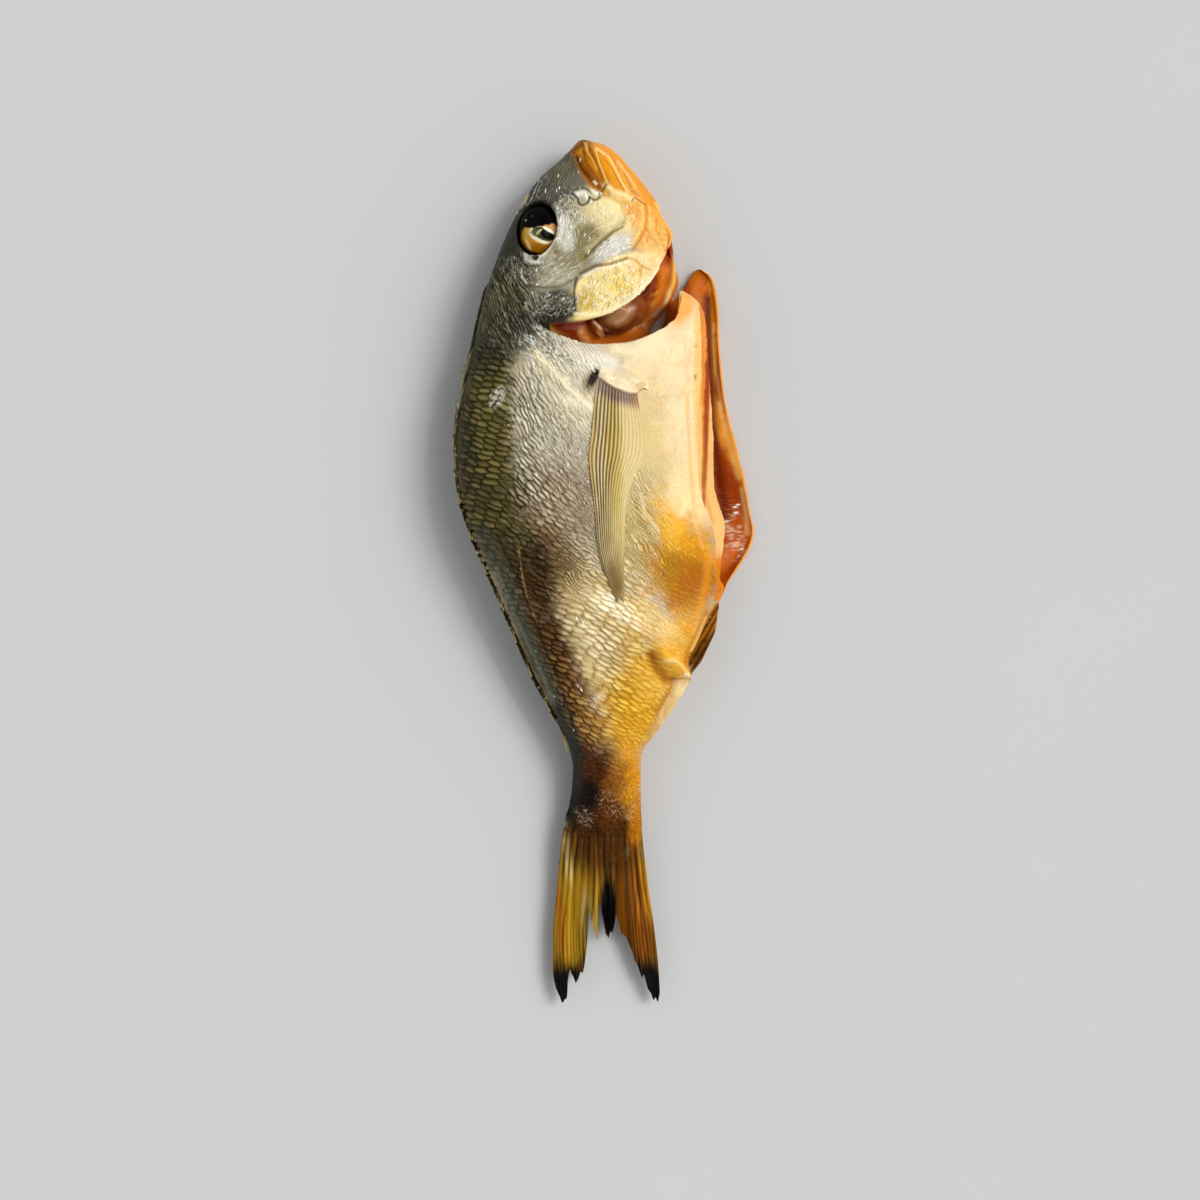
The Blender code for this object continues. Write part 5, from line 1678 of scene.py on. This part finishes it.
def plate(top: Array, low: Array, colour: Array, rough: Array) -> Surface:
    """A closed plate between two grids of points of the same size.

    Args:
        top: upper points, rows by columns.
        low: lower points.
        colour: a colour for each upper point, which the lower ones share.
        rough: a roughness for each upper point.

    Returns:
        The plate.
    """
    rows, columns = top.shape[:2]
    points = np.concatenate([top, low[:, ::-1]], axis=1)
    n = 2 * columns
    i = np.arange(columns - 1)
    quads = np.column_stack([i, i + 1, n - 2 - i, n - 1 - i])
    ends = np.vstack([quads[:, ::-1], quads + (rows - 1) * n])
    faces = np.vstack([grid_faces(rows, n, True), ends])
    both = np.concatenate([colour, colour[:, ::-1]], axis=1)
    shine = np.concatenate([rough, rough[:, ::-1]], axis=1)
    return Surface(points, faces, np.zeros((0, 3), int), both, shine)


def tube(path: Array, radius: Array, colour: Array, rough: float, around: int = 10) -> Surface:
    """A round rod along a path, with a radius and a colour for each of its points.

    Args:
        path: points of its middle line.
        radius: radius at each.
        colour: colour at each.
        rough: roughness.
        around: points round it.

    Returns:
        The rod.
    """
    along = np.gradient(path, axis=0)
    along /= np.linalg.norm(along, axis=-1, keepdims=True)
    side = np.cross(along, (0, 0, 1.0))
    side /= np.linalg.norm(side, axis=-1, keepdims=True)
    up = np.cross(side, along)
    angle = turns(around)
    c, s = np.cos(angle)[None, :, None], np.sin(angle)[None, :, None]
    points = path[:, None] + (side[:, None] * c + up[:, None] * s) * radius[:, None, None]
    tints = np.broadcast_to(colour[:, None, :], points.shape)
    return closed_tube(points, tints, np.full(points.shape[:2], rough))


def joined(parts: list[Surface]) -> Surface:
    """Several closed surfaces as one piece."""
    start, points, quads, tris, colour, rough = 0, [], [], [], [], []
    for part in parts:
        flat = part.points.reshape(-1, 3)
        points.append(flat)
        quads.append(part.quads.reshape(-1, 4) + start)
        tris.append(part.tris.reshape(-1, 3) + start)
        colour.append(part.colour.reshape(-1, 3))
        rough.append(part.rough.ravel())
        start += len(flat)
    return Surface(
        np.vstack(points), np.vstack(quads), np.vstack(tris), np.vstack(colour), np.concatenate(rough)
    )


@dataclass
class PectoralFin:
    """The long breast fin, laid back against the flank: a fan of rays joined by skin."""

    back_edge: list[Key] = field(
        default_factory=lambda: [
            (70, -1.0), (64, -2.0), (50, -3.4), (41, -4.3), (26, -2.7), (5, -0.2), (-9, 5.0),
        ]
    )
    belly_edge: list[Key] = field(
        default_factory=lambda: [(70, 12.6), (50, 15.4), (42, 14.6), (36, 12), (26, 9), (5, 8.0), (-9, 8.2)]
    )
    rays: int = 14
    rows: int = 250
    columns: int = 190

    def surface(self) -> Surface:
        """Lay the fan on the flank; rays are ridges, thick on the back side and faint on the belly side.

        Returns:
            The fin.
        """
        y = np.linspace(70, -9, self.rows)[:, None]
        w = np.linspace(0, 1, self.columns)[None, :]
        x = mix(curve(self.back_edge, y), curve(self.belly_edge, y), w)
        y = y - 6.0 * w * ramp(30, 68, y) - 1.0 * np.sin(w * 9) * (1 - ramp(-9, 2, y))
        x, y = off_plan(x, y, 0.97)
        grain = layered(x / 1.3, y / 6, 3, 51)
        wander = 0.25 * layered(w * 3 + 0 * y, y / 16, 2, 52)
        ridge = np.abs(np.cos(math.pi * (self.rays * w**1.08 + wander))) ** 1.2
        strong = mix(1.0, 0.30, ramp(0.40, 0.62, w + 0.012 * (35 - y) * (y < 35)))
        ends = np.clip(4 * w * (1 - w), 0, 1) ** 0.35
        fade = mix(1.0, 0.15, ramp(0.5, 1.0, w) * ramp(10, 34, y))
        base = upper_height(x, y)
        lift = (0.35 + 0.75 * ends) * (0.4 + 0.6 * ramp(-9, 4, y)) * fade
        tuck = 1 - 0.8 * ramp(60, 64.5, y)
        top = base + (lift + (0.75 * ridge * strong + 0.08 * grain) * ends * ramp(-9, -4, y)) * tuck
        # Pale rays and dark grooves between them, partly their own colour and partly painted shade in the
        # grooves.
        groove = mix(shade(96, 72, 34), shade(206, 178, 118), ramp(0.35, 0.7, w)[..., None])
        crown = mix(shade(222, 202, 152), shade(226, 206, 150), w[..., None])
        colour = mix(groove, crown, np.clip(ridge * (0.92 + 0.3 * grain), 0, 1)[..., None])
        plan = on_plan(x, y, 0.97)
        tints = [
            Tint(4.5, 40, 26, 2.6, 92, (196, 170, 84), 0.75, 0.6, 0.1),
            Tint(-3.4, 44, 26, 0.9, 90, (222, 180, 96), 0.7, 0.5, 0.1),
            # Painted shadow below the root's lip, orange-brown.
            Tint(12, 62, 3.6, 2.0, -60, (196, 132, 66), 0.7, 0.5, 0.1),
            # Greyish-purple under the root's lip, partly the roots' own colour and partly painted shadow.
            Tint(5, 64.0, 9, 3.4, -24, (140, 116, 106), 0.9, 0.5, 0.1),
            Tint(1.5, 18, 18, 2.2, 84, (176, 156, 104), 0.6, 0.6, 0.1),
            Tint(5.6, -4, 12, 4, 90, (132, 100, 46), 0.8, 0.9, 0.2),
        ]
        for tint in tints:
            mask = tint.mask(*plan, grain)[..., None]
            # Tints darker in the grooves and paler on the rays, as painted shade.
            colour = colour * (1 - mask) + shade(*tint.colour) * mask * (0.45 + 0.65 * ridge[..., None])
        grid = np.stack([x, y, top], -1)
        under = np.stack([x, y, base - 1.2], -1)
        return plate(grid, under, np.clip(colour, 0, 1), np.full(top.shape, 0.34))


@dataclass
class FinRoot:
    """The fleshy lobe that the breast fin grows from, with its lower lip curled over the rays."""

    pelt: Pelt
    edge: list[Key] = field(
        default_factory=lambda: [
            (0, 69.4), (0.1, 67.8), (0.22, 66.2), (0.36, 64.9), (0.5, 63.9), (0.64, 63.2), (0.76, 63.3),
            (0.86, 64.8), (0.93, 65.4), (1, 65.0),
        ]
    )
    rows: int = 90
    columns: int = 150

    def surface(self) -> Surface:
        """A bent roll: a cushion along an arc, thickest in the middle, that ends in a curled lip.

        Returns:
            The lobe.
        """
        w = np.linspace(0, 1, self.columns)[None, :]
        t = np.linspace(0, 1, self.rows)[:, None]
        x = mix(-1.4, 16.2, w) + 0.6 * np.sin(math.pi * t)
        front = 74.4 + 3.0 * np.sin(math.pi * w) - 5.4 * w
        back = curve(self.edge, w)
        x, y = off_plan(x, mix(front, back, t), 0.968)
        sides = np.clip(4 * w * (1 - w), 0, 1) ** 0.5
        round_off = sides * ramp(0.0, 0.8, t) * np.clip(12 * (1 - t), 0, 1) ** 0.4
        lip = bell(t, 0.9, 0.08)
        grain = layered(x / 2.2, y / 2.2, 4, 55)
        base = upper_height(x, y)
        top = base + round_off * (1.5 + 0.7 * lip + 0.3 * grain) - 0.1 + 0.06 * ramp(0, 0.1, t)
        _, colour, rough = self.pelt.apply(x, y, x, 4)
        belly = TRUNK_SKIN.apply(x, y, x)[1]
        colour = mix(belly, colour, ramp(0.1, 0.6, t + 0.2 * grain)[..., None])
        # Painted shade: a dark brown line under the curled lip.
        line = bell(t, 0.985, 0.035)[..., None] * (0.5 + 0.5 * ramp(0.5, 0.9, w))[..., None]
        colour = mix(colour, shade(128, 76, 40), line)
        return plate(np.stack([x, y, top], -1), np.stack([x, y, base - 1.5], -1), colour, rough)


ROOT_SKIN = Pelt(
    base=(240, 222, 182),
    tints=[
        Tint(8, 71, 6, 3, -20, (228, 208, 168), 0.8),
        Tint(0.4, 68.6, 2.4, 0.9, -52, (214, 196, 168), 0.9),
        Tint(13.6, 66.4, 2.5, 1.2, 20, (224, 184, 128), 0.8),
    ],
    wrinkles=[Wrinkles(7, 70, 9, 5, -20, 1.8, 1.8, -30, 0.2, (200, 172, 124), 0.5, 161, 0.10)],
    grain=0.08,
)


TAIL_REACH = [
    (0, 0.86), (0.02, 0.94), (0.06, 1.0), (0.09, 0.985), (0.125, 0.955), (0.15, 0.86), (0.166, 0.825),
    (0.21, 0.907), (0.3, 0.83),
    (0.364, 0.568), (0.436, 0.71), (0.45, 0.441), (0.519, 0.68), (0.584, 0.65), (0.631, 0.555), (0.668, 0.64),
    (0.716, 0.678), (0.793, 0.806), (0.845, 0.891), (0.858, 0.866), (0.885, 0.926), (0.94, 0.984),
    (0.98, 1.0), (1.0, 0.96),
]


@dataclass
class TailFin:
    """The forked tail fin: rays that fan out and split, with torn ends."""

    rays: int = 14
    rows: int = 190
    columns: int = 256
    thickness: float = 1.3
    back_edge: list[Key] = field(
        default_factory=lambda: [
            (-79, -10.2), (-85, -12.6), (-92, -13.8), (-110, -15.5), (-128, -17), (-140, -17), (-150, -16),
        ]
    )
    belly_edge: list[Key] = field(
        default_factory=lambda: [
            (-79, 13.0), (-85, 13.8), (-92, 14.3), (-110, 16.4), (-125, 18.6), (-140, 20.1), (-150, 20.6),
        ]
    )

    def surface(self) -> Surface:
        """Fan the rays from the root line to the tips; each splits in two half-way.

        Returns:
            The fin.
        """
        w = np.linspace(0, 1, self.columns)[None, :]
        step = np.linspace(0, 1, self.rows)[:, None]
        reach = np.interp(w, *np.array(TAIL_REACH).T) + 0.014 * noise(w * 46, w * 0, 60)
        share = step * np.minimum(reach, 1.0)
        y = mix(TAIL_FRONT_Y, TAIL_END_Y, share)
        x = mix(curve(self.back_edge, y), curve(self.belly_edge, y), w)
        sway = 0.055 * layered(w * 5, share * 1.5, 3, 64)
        single = np.abs(np.cos(math.pi * self.rays * (w + sway))) ** 0.9
        double = np.abs(np.cos(math.pi * 2 * self.rays * (w + sway))) ** 0.9
        ridge = mix(single, double, ramp(0.45, 0.75, share))
        number = np.floor(self.rays * (w + sway) + 0.5)
        tone = hashed(number, number * 0, 65)
        grain = layered(x / 1.2, y / 7, 3, 61)
        streak = layered(x / 0.5, y / 9, 3, 66)
        half = self.thickness / 2 * mix(1.0, 0.4, step) * (0.3 + 0.7 * np.clip(4 * w * (1 - w), 0, 1) ** 0.3)
        z = 7.5 - 2.6 * share + 0.5 * np.sin(math.pi * 3 * w + 0.6) * share
        uneven = 1.8 * layered(x / 2.2, y / 4, 3, 62)
        onto = 1 - ramp(-99, -86, y + 3.5 * uneven)
        relief, stalk, _ = TRUNK_SKIN.apply(x, y, x)
        stalk_top = upper_height(x, np.maximum(y, TAIL_ROOT_Y)) + relief + 0.5 - 1.1 * ramp(-86, -81, y)
        top = mix(stalk_top, z + half + 0.06 * grain, 1 - ramp(-104, -92.5, y + uneven * ramp(-93, -97, y)))
        top = top + 0.5 * ridge * (1 - 0.5 * step) * onto
        low = z - half - 0.2 * ridge * (1 - 0.5 * step)
        tints = [
            Tint(-9, -118, 30, 9, 96, (148, 110, 20), 1.0, 0.4),
            Tint(-14.6, -118, 18, 1.4, 96, (150, 84, 16), 0.7),
            Tint(-6, -138, 7, 2.6, 70, (66, 40, 8), 0.9),
            Tint(-7, -92, 7, 3, 90, (96, 58, 12), 0.8),
            # Painted highlight: a pale golden streak on the back-side lobe.
            Tint(-12, -98, 9, 1.4, 96, (232, 206, 136), 0.6, 0.6),
            Tint(-4.5, -122, 10, 2.2, 96, (170, 150, 90), 0.6, 0.6),
            Tint(11, -118, 30, 9, 84, (116, 66, 10), 1.0, 0.4),
            Tint(14.8, -104, 18, 1.3, 98, (206, 142, 30), 0.9),
            Tint(13, -130, 8, 6, 96, (112, 60, 6), 0.9, 0.6),
            Tint(1, -96, 9, 14, 90, (74, 40, 8), 0.85, 0.6),
            Tint(2.6, -118, 13, 2.9, 92, (8, 5, 3), 1.0, 0.35),
            Tint(-13, -146, 9.5, 8, 90, (14, 10, 5), 1.0, 0.35),
            Tint(16.5, -147, 13, 7, 100, (13, 9, 5), 1.0, 0.35),
        ]
        colour = painted(shade(124, 84, 22), tints, x, y, grain)
        dull = 0.10 + 0.6 * ramp(-0.3, 0.4, layered(x / 2.2, y / 16, 2, 67))
        # Ray crowns brightened with painted highlight, varied at random from ray to ray.
        lit = dull + (1.22 - dull) * ridge * (0.35 + 1.3 * tone) * (1 + 0.8 * streak)
        colour = mix(stalk, colour * lit[..., None], onto[..., None])
        grid, under = np.stack([x, y, top], -1), np.stack([x, y, low], -1)
        return plate(grid, under, np.clip(colour, 0, 1), np.full(top.shape, 0.36))


@dataclass
class DorsalFin:
    """The back fin, folded down along the ridge: spines lying back one over the other, in skin."""

    spines: int = 12
    front: float = 84.0
    back: float = -60.0

    def skin(self) -> Surface:
        """The folded skin, a strip along the ridge with a notch behind each spine.

        Returns:
            The skin.
        """
        station = np.linspace(self.front, self.back, 620)
        t = (self.front - station) / (self.front - self.back)
        ends = np.clip(np.minimum(t, 1 - t) * 12, 0.2, 1)
        notch = 0.5 * (1 - np.mod(t * self.spines, 1)) ** 1.5
        reach = (1.7 + 0.9 * ramp(0.30, 0.05, t) + notch) * ends + 0.6
        turn = turns(32)
        inner = curve(BACK, station) + 1.2
        z = curve(RIDGE_HEIGHT, station) + 0.9
        fold = 0.16 * layered(station[:, None] / 1.5 + 3 * np.sin(turn), turn[None, :] * 1.2, 3, 71)
        x = inner[:, None] - (1 - np.cos(turn)) / 2 * reach[:, None] + fold
        height = z[:, None] + (1.1 + fold) * np.sin(turn)
        points = np.stack([x, np.broadcast_to(station[:, None], x.shape), height], -1)
        grain = layered(station[:, None] / 1.2, turn[None, :] * 1.5, 3, 73)
        tints = [
            Tint(-47, 68, 20, 9, 100, (132, 130, 112), 1.0, 0.4),
            Tint(-50, 42, 12, 5, 90, (84, 80, 60), 0.9),
        ]
        colour = painted(shade(34, 30, 14), tints, x, points[..., 1], grain)
        # Pale gold specks on the upper side, partly the fin's own spots and partly painted glints.
        specks = (grain > 0.42)[..., None] * (np.sin(turn) > 0.2)[None, :, None]
        colour = np.where(specks, shade(196, 178, 110), colour * (1 + 0.6 * grain)[..., None])
        return closed_tube(points, np.clip(colour, 0, 1), np.full(x.shape, 0.35))

    def rods(self) -> Surface:
        """The spines that show in the skin, each lying back over the next.

        Returns:
            All of them as one surface.
        """
        found = []
        for k in range(self.spines):
            start = self.front - (k + 0.15) * (self.front - self.back) / self.spines
            length = mix(16.0, 12.0, k / self.spines)
            s = np.linspace(0, 1, 24)
            y = start - length * s
            out = mix(0.2, 2.3, s**0.8) + 0.3 * ramp(0.3, 0.05, k / self.spines)
            path = np.column_stack([curve(BACK, y) - out + 0.9, y, curve(RIDGE_HEIGHT, y) + 1.7 - 0.5 * s])
            tone = mix(shade(60, 52, 22), shade(188, 160, 84), ramp(0.2, 0.8, s)[:, None])
            found.append(tube(path, 0.55 * (1 - s) ** 0.5 + 0.05, tone, 0.28))
        return joined(found)


@dataclass
class AnalFin:
    """The fin behind the vent, folded against the keel: dark spines in front, pale rays behind."""

    reach: list[Key] = field(
        default_factory=lambda: [
            (-62, 0.6), (-56, 3.0), (-46, 3.8), (-38, 4.4), (-35, 3.8), (-30, 4.9), (-22, 4.9), (-14, 2.4),
            (-9, 0.8),
        ]
    )

    def surface(self) -> Surface:
        """A folded strip with ridges that lie back along it.

        Returns:
            The fin.
        """
        station = np.linspace(-9, -61, 360)
        torn = 0.5 * layered(station / 1.7, station * 0, 3, 82) * ramp(-34, -39, station)
        reach = curve(self.reach, station) + 2.6 + torn
        turn = turns(48)
        out = (1 + np.cos(turn)) / 2
        x = curve(NEAR_FLAP, station)[:, None] - 2.2 + out * reach[:, None]
        y = np.broadcast_to(station[:, None], x.shape)
        spines = np.cos(((x - 0.62 * y) * 0.9 + 0.3 * noise(x, y / 6, 83)) * math.pi)
        grain = layered(x / 1.1, y / 2, 3, 81)
        rays = mix(spines, grain, ramp(-32, -38, y))
        z = curve(NEAR_EDGE_HEIGHT, station)[:, None] + 0.5 + (0.9 + 0.22 * rays) * np.sin(turn)
        tints = [
            Tint(36, -22, 17, 7, 60, (140, 84, 14), 1.0, 0.3),
            Tint(34, -29, 8, 2.4, 60, (70, 36, 4), 0.8, 0.6),
            Tint(20, -49, 17, 6, 58, (236, 196, 130), 1.0, 0.3),
            Tint(15.8, -57, 7, 2, 56, (206, 150, 70), 0.7),
            Tint(28, -40, 3.4, 2.2, 50, (250, 222, 160), 0.9),
        ]
        colour = painted(shade(190, 140, 60), tints, x, y, grain)
        colour = colour * (0.85 + 0.55 * rays * mix(1.0, 0.3, ramp(-32, -38, y)))[..., None]
        return closed_tube(np.stack([x, y, z], -1), np.clip(colour, 0, 1), np.full(x.shape, 0.32))


@dataclass
class Bead:
    """A soft oval lump of flesh.

    middle is its (x, y, z), radii its half sizes along, across and up, turn the angle of its length, folds
    how strongly it is folded across and fold_pitch how far apart the folds are.
    """

    name: str
    middle: tuple[float, float, float]
    radii: tuple[float, float, float]
    turn: float
    pelt: Pelt
    folds: float
    fold_pitch: float

    def surface(self) -> Surface:
        """An oval ball with folds across its length.

        Returns:
            The bead.
        """
        rings, segments = 90, 120
        tilt = np.linspace(0.03, math.pi - 0.03, rings)[:, None]
        angle = turns(segments)[None, :]
        a = np.cos(tilt) * self.radii[0] + np.zeros_like(angle)
        b = np.sin(tilt) * np.cos(angle) * self.radii[1]
        c = np.sin(tilt) * np.sin(angle) * self.radii[2]
        fold = self.folds * np.sin(a / self.fold_pitch * 2 * math.pi + 0.6 * b) * np.sin(tilt)
        grow = 1 + fold / max(self.radii[1], 1)
        x, y = turned(a, b * grow, -self.turn)
        x, y, z = x + self.middle[0], y + self.middle[1], c * grow + self.middle[2]
        _, colour, rough = self.pelt.apply(x, y, x + z, 3)
        # Painted light and shade on the folds: lighter on their crests, darker in their hollows.
        return closed_tube(np.stack([x, y, z], -1), colour * (1 + 0.25 * fold[..., None]), rough)


# --- Finishes ---------------------------------------------------------------------------------------


class Look(Enum):
    """The finishes that pieces wear."""

    SKIN = "smoked_skin"
    FIN = "dried_fin"
    EYE = "wet_eye"
    FLESH = "oily_flesh"
    FLOOR = "grey_board"


@dataclass(frozen=True)
class Finish:
    """A painted finish: gloss, oil coat, softness in depth and fine bump."""

    look: Look
    coat: float
    coat_rough: float
    under: float
    bump: float
    bump_size: float
    specular: float

    def build(self) -> bpy.types.Material:
        """Make the material, which reads the painted colour and gloss.

        Returns:
            The material.
        """
        material = bpy.data.materials.new(self.look.value)
        material.use_nodes = True
        nodes, links = material.node_tree.nodes, material.node_tree.links
        surface = nodes["Principled BSDF"]
        set_inputs(surface, {
            "Coat Weight": self.coat,
            "Coat Roughness": self.coat_rough,
            "Specular IOR Level": self.specular,
            "Subsurface Weight": self.under,
            "Subsurface Radius": (1.0, 0.5, 0.25),
            "Subsurface Scale": 1.2 * MM,
        })
        tone = nodes.new("ShaderNodeAttribute")
        tone.attribute_name = "tone"
        gloss = nodes.new("ShaderNodeAttribute")
        gloss.attribute_name = "rough"
        place = nodes.new("ShaderNodeTexCoord")
        speck = nodes.new("ShaderNodeTexNoise")
        set_inputs(speck, {"Scale": 1 / (self.bump_size * MM), "Detail": 4.0})
        links.new(place.outputs["Object"], speck.inputs["Vector"])
        level = nodes.new("ShaderNodeMapRange")
        set_inputs(level, {"To Min": 0.86, "To Max": 1.14})
        links.new(speck.outputs["Fac"], level.inputs["Value"])
        scale = nodes.new("ShaderNodeVectorMath")
        scale.operation = "SCALE"
        links.new(tone.outputs["Color"], scale.inputs[0])
        links.new(level.outputs["Result"], scale.inputs["Scale"])
        links.new(scale.outputs["Vector"], surface.inputs["Base Color"])
        links.new(gloss.outputs["Fac"], surface.inputs["Roughness"])
        bump = nodes.new("ShaderNodeBump")
        set_inputs(bump, {"Strength": 1.0, "Distance": self.bump * MM})
        links.new(speck.outputs["Fac"], bump.inputs["Height"])
        links.new(bump.outputs["Normal"], surface.inputs["Normal"])
        return material


FINISHES = [
    Finish(Look.SKIN, 0.10, 0.10, 0.05, 0.08, 0.8, 0.05),
    Finish(Look.FIN, 0.05, 0.12, 0.04, 0.05, 1.2, 0.03),
    Finish(Look.EYE, 0.05, 0.03, 0.0, 0.01, 1.0, 0.02),
    Finish(Look.FLESH, 0.20, 0.08, 0.12, 0.10, 1.2, 0.08),
]


# --- Stage ------------------------------------------------------------------------------------------


@dataclass
class Stage:
    """The grey board under the fish, the lights and the camera."""

    floor_grey: float = 0.60
    middle: Key = (-0.5, PLAN_MIDDLE)
    distance: float = 985.0

    def floor(self) -> bpy.types.Object:
        """A wide matt board, with a faint mottle.

        Returns:
            The board.
        """
        mesh = bpy.data.meshes.new("board")
        r = 2.5
        mesh.from_pydata([(-r, -r, 0), (r, -r, 0), (r, r, 0), (-r, r, 0)], [], [(0, 1, 2, 3)])
        obj = placed("board", mesh)
        obj.location.z = -0.05 * MM
        material = bpy.data.materials.new(Look.FLOOR.value)
        material.use_nodes = True
        nodes, links = material.node_tree.nodes, material.node_tree.links
        surface = nodes["Principled BSDF"]
        set_inputs(surface, {"Roughness": 0.85, "Specular IOR Level": 0.1})
        place = nodes.new("ShaderNodeTexCoord")
        cloud = nodes.new("ShaderNodeTexNoise")
        set_inputs(cloud, {"Scale": 9.0, "Detail": 5.0})
        links.new(place.outputs["Object"], cloud.inputs["Vector"])
        blend = nodes.new("ShaderNodeMix")
        blend.data_type = "RGBA"
        g = self.floor_grey
        blend.inputs["A"].default_value = (g * 0.985, g * 0.985, g * 0.98, 1)
        blend.inputs["B"].default_value = (g * 1.01, g * 1.01, g * 1.0, 1)
        links.new(cloud.outputs["Fac"], blend.inputs["Factor"])
        links.new(blend.outputs["Result"], surface.inputs["Base Color"])
        mesh.materials.append(material)
        return obj

    def sun(self, name: str, towards: tuple[float, float, float], strength: float, width: float) -> None:
        """A distant lamp.

        Args:
            name: what it is for.
            towards: the direction in which it stands, seen from the fish.
            strength: its power.
            width: how wide it looks, in degrees.
        """
        light = bpy.data.lights.new(name, "SUN")
        light.energy = strength
        light.angle = math.radians(width)
        light.color = (1.0, 0.99, 0.97)
        obj = placed(name, light)
        obj.rotation_euler = (-Vector(towards)).to_track_quat("-Z", "Y").to_euler()

    def lights(self) -> None:
        """Two soft keys and a weak hard one from the belly side, and a sky that is dimmer overhead."""
        self.sun("soft_key", (1.0, 0.30, 1.35), 1.20, 46)
        self.sun("key", (1.0, 0.40, 1.20), 0.90, 18)
        self.sun("glint", (0.9, 0.55, 1.60), 0.25, 3)
        world = bpy.data.worlds.new("even_sky")
        world.use_nodes = True
        nodes, links = world.node_tree.nodes, world.node_tree.links
        place = nodes.new("ShaderNodeTexCoord")
        split = nodes.new("ShaderNodeSeparateXYZ")
        dim = nodes.new("ShaderNodeMapRange")
        dim.interpolation_type = "SMOOTHSTEP"
        set_inputs(dim, {"From Min": 0.55, "From Max": 0.95, "To Min": 0.80, "To Max": 0.10})
        links.new(place.outputs["Generated"], split.inputs["Vector"])
        links.new(split.outputs["Z"], dim.inputs["Value"])
        links.new(dim.outputs["Result"], nodes["Background"].inputs["Strength"])
        nodes["Background"].inputs["Color"].default_value = (0.95, 0.97, 1.0, 1)
        bpy.context.scene.world = world

    def camera(self) -> None:
        """A camera straight above the fish, with the snout to the top of the picture."""
        data = bpy.data.cameras.new("above")
        data.lens = 85.0
        data.sensor_width = 36.0
        data.clip_end = 50.0
        obj = placed("above", data)
        obj.location = (self.middle[0] * MM, self.middle[1] * MM, self.distance * MM + 0.012)
        bpy.context.scene.camera = obj
        bpy.context.scene.view_settings.view_transform = "Standard"


# --- Assembly ---------------------------------------------------------------------------------------


@dataclass
class SmokedBream:
    """The whole fish, built in order from the body to its fins."""

    finishes: dict[Look, bpy.types.Material]
    built: list[bpy.types.Object] = field(default_factory=list)

    def add(self, name: str, surface: Surface, look: Look) -> None:
        """Build a piece with its finish and set it on the body.

        Args:
            name: the piece's name.
            surface: its shape and paint.
            look: its finish.
        """
        obj = surface.build(name, self.finishes[look])
        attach(obj, BODY)
        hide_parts("fish")
        self.built.append(obj)
        LOG.info("%s: %d points", name, len(obj.data.vertices))

    def body(self) -> None:
        """The trunk and the head."""
        for piece in Trunk().pieces() + Head().pieces():
            self.add(piece.name, piece.surface(), Look.SKIN)

    def eyes(self) -> None:
        """One eye on each side."""
        x, y = EYE_PLACE
        top = float(upper_height(np.array(x), np.array(y)))
        right = float(upper_height(np.array(x + 1.0), np.array(y)))
        self.add("eye_upper", Eye(top - EYE_SUNK, 1, (right - top) * 0.85).surface(), Look.EYE)
        self.add("eye_lower", Eye(LOWER_EYE_Z, -1, 0.25).surface(), Look.EYE)

    def flesh(self) -> None:
        """The lump and the fold of flesh in the gill chamber."""
        lumps = [
            Bead("throat_flesh", (7.0, 90.8, 9.0), (9.2, 6.5, 6.0), 26, LUMP, 0.10, 9.0),
            Bead("throat_fold", (-1.6, 85.8, 8.6), (4.0, 1.7, 3.0), -56, LUMP, 0.10, 5.4),
        ]
        for lump in lumps:
            self.add(lump.name, lump.surface(), Look.FLESH)

    def fins(self) -> None:
        """The breast fin, the tail fin, the back fin and the fin behind the vent."""
        self.add("pectoral_fin", PectoralFin().surface(), Look.FIN)
        self.add("pectoral_root", FinRoot(ROOT_SKIN).surface(), Look.SKIN)
        self.add("tail_fin", TailFin().surface(), Look.FIN)
        back_fin = DorsalFin()
        self.add("dorsal_fin_skin", back_fin.skin(), Look.FIN)
        self.add("dorsal_fin_spines", back_fin.rods(), Look.FIN)
        self.add("anal_fin", AnalFin().surface(), Look.FIN)


LUMP = Pelt(
    base=(160, 92, 40),
    tints=[
        Tint(13, 95, 6, 5, 40, (136, 62, 14), 0.9, 0.6),
        Tint(6, 91, 5.4, 3.4, 30, (188, 140, 94), 0.9),
        Tint(-1.8, 86, 4, 2.4, -56, (196, 116, 44), 0.9),
    ],
    lines=[
        # Painted highlights on the fold's edge.
        Line([(-2.4, 88.4), (-0.4, 86.6), (2.0, 85.8)], 0.5, -0.4, (255, 232, 206), 0.8),
        Line([(-1.6, 85), (0.2, 83.2)], 0.35, -0.2, (255, 226, 190)),
        Line([(3, 92.6), (6, 93.4), (9.6, 92)], 0.5, -0.3, (232, 196, 160), 0.6),
        Line([(5, 88), (8, 89.4), (10, 92.4)], 0.5, -0.3, (226, 184, 144), 0.5),
        # Painted shadow: a dark crescent along the lump's lower edge.
        Line([(1, 86.6), (5.4, 85.6), (9.4, 86.8), (12.4, 89.6)], 0.9, 0.0, (110, 44, 8), 0.8),
    ],
    grain=0.12,
    rough=0.22,
    plan=0.99,
)


def main() -> None:
    """Build the fish, the board, the lights and the camera."""
    logging.basicConfig(level=logging.INFO, format="%(message)s")
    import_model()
    fish = SmokedBream({finish.look: finish.build() for finish in FINISHES})
    fish.body()
    fish.eyes()
    fish.flesh()
    fish.fins()
    stage = Stage()
    stage.floor()
    stage.lights()
    stage.camera()
    LOG.info("%d pieces built", len(fish.built))


if __name__ == "__main__":
    main()
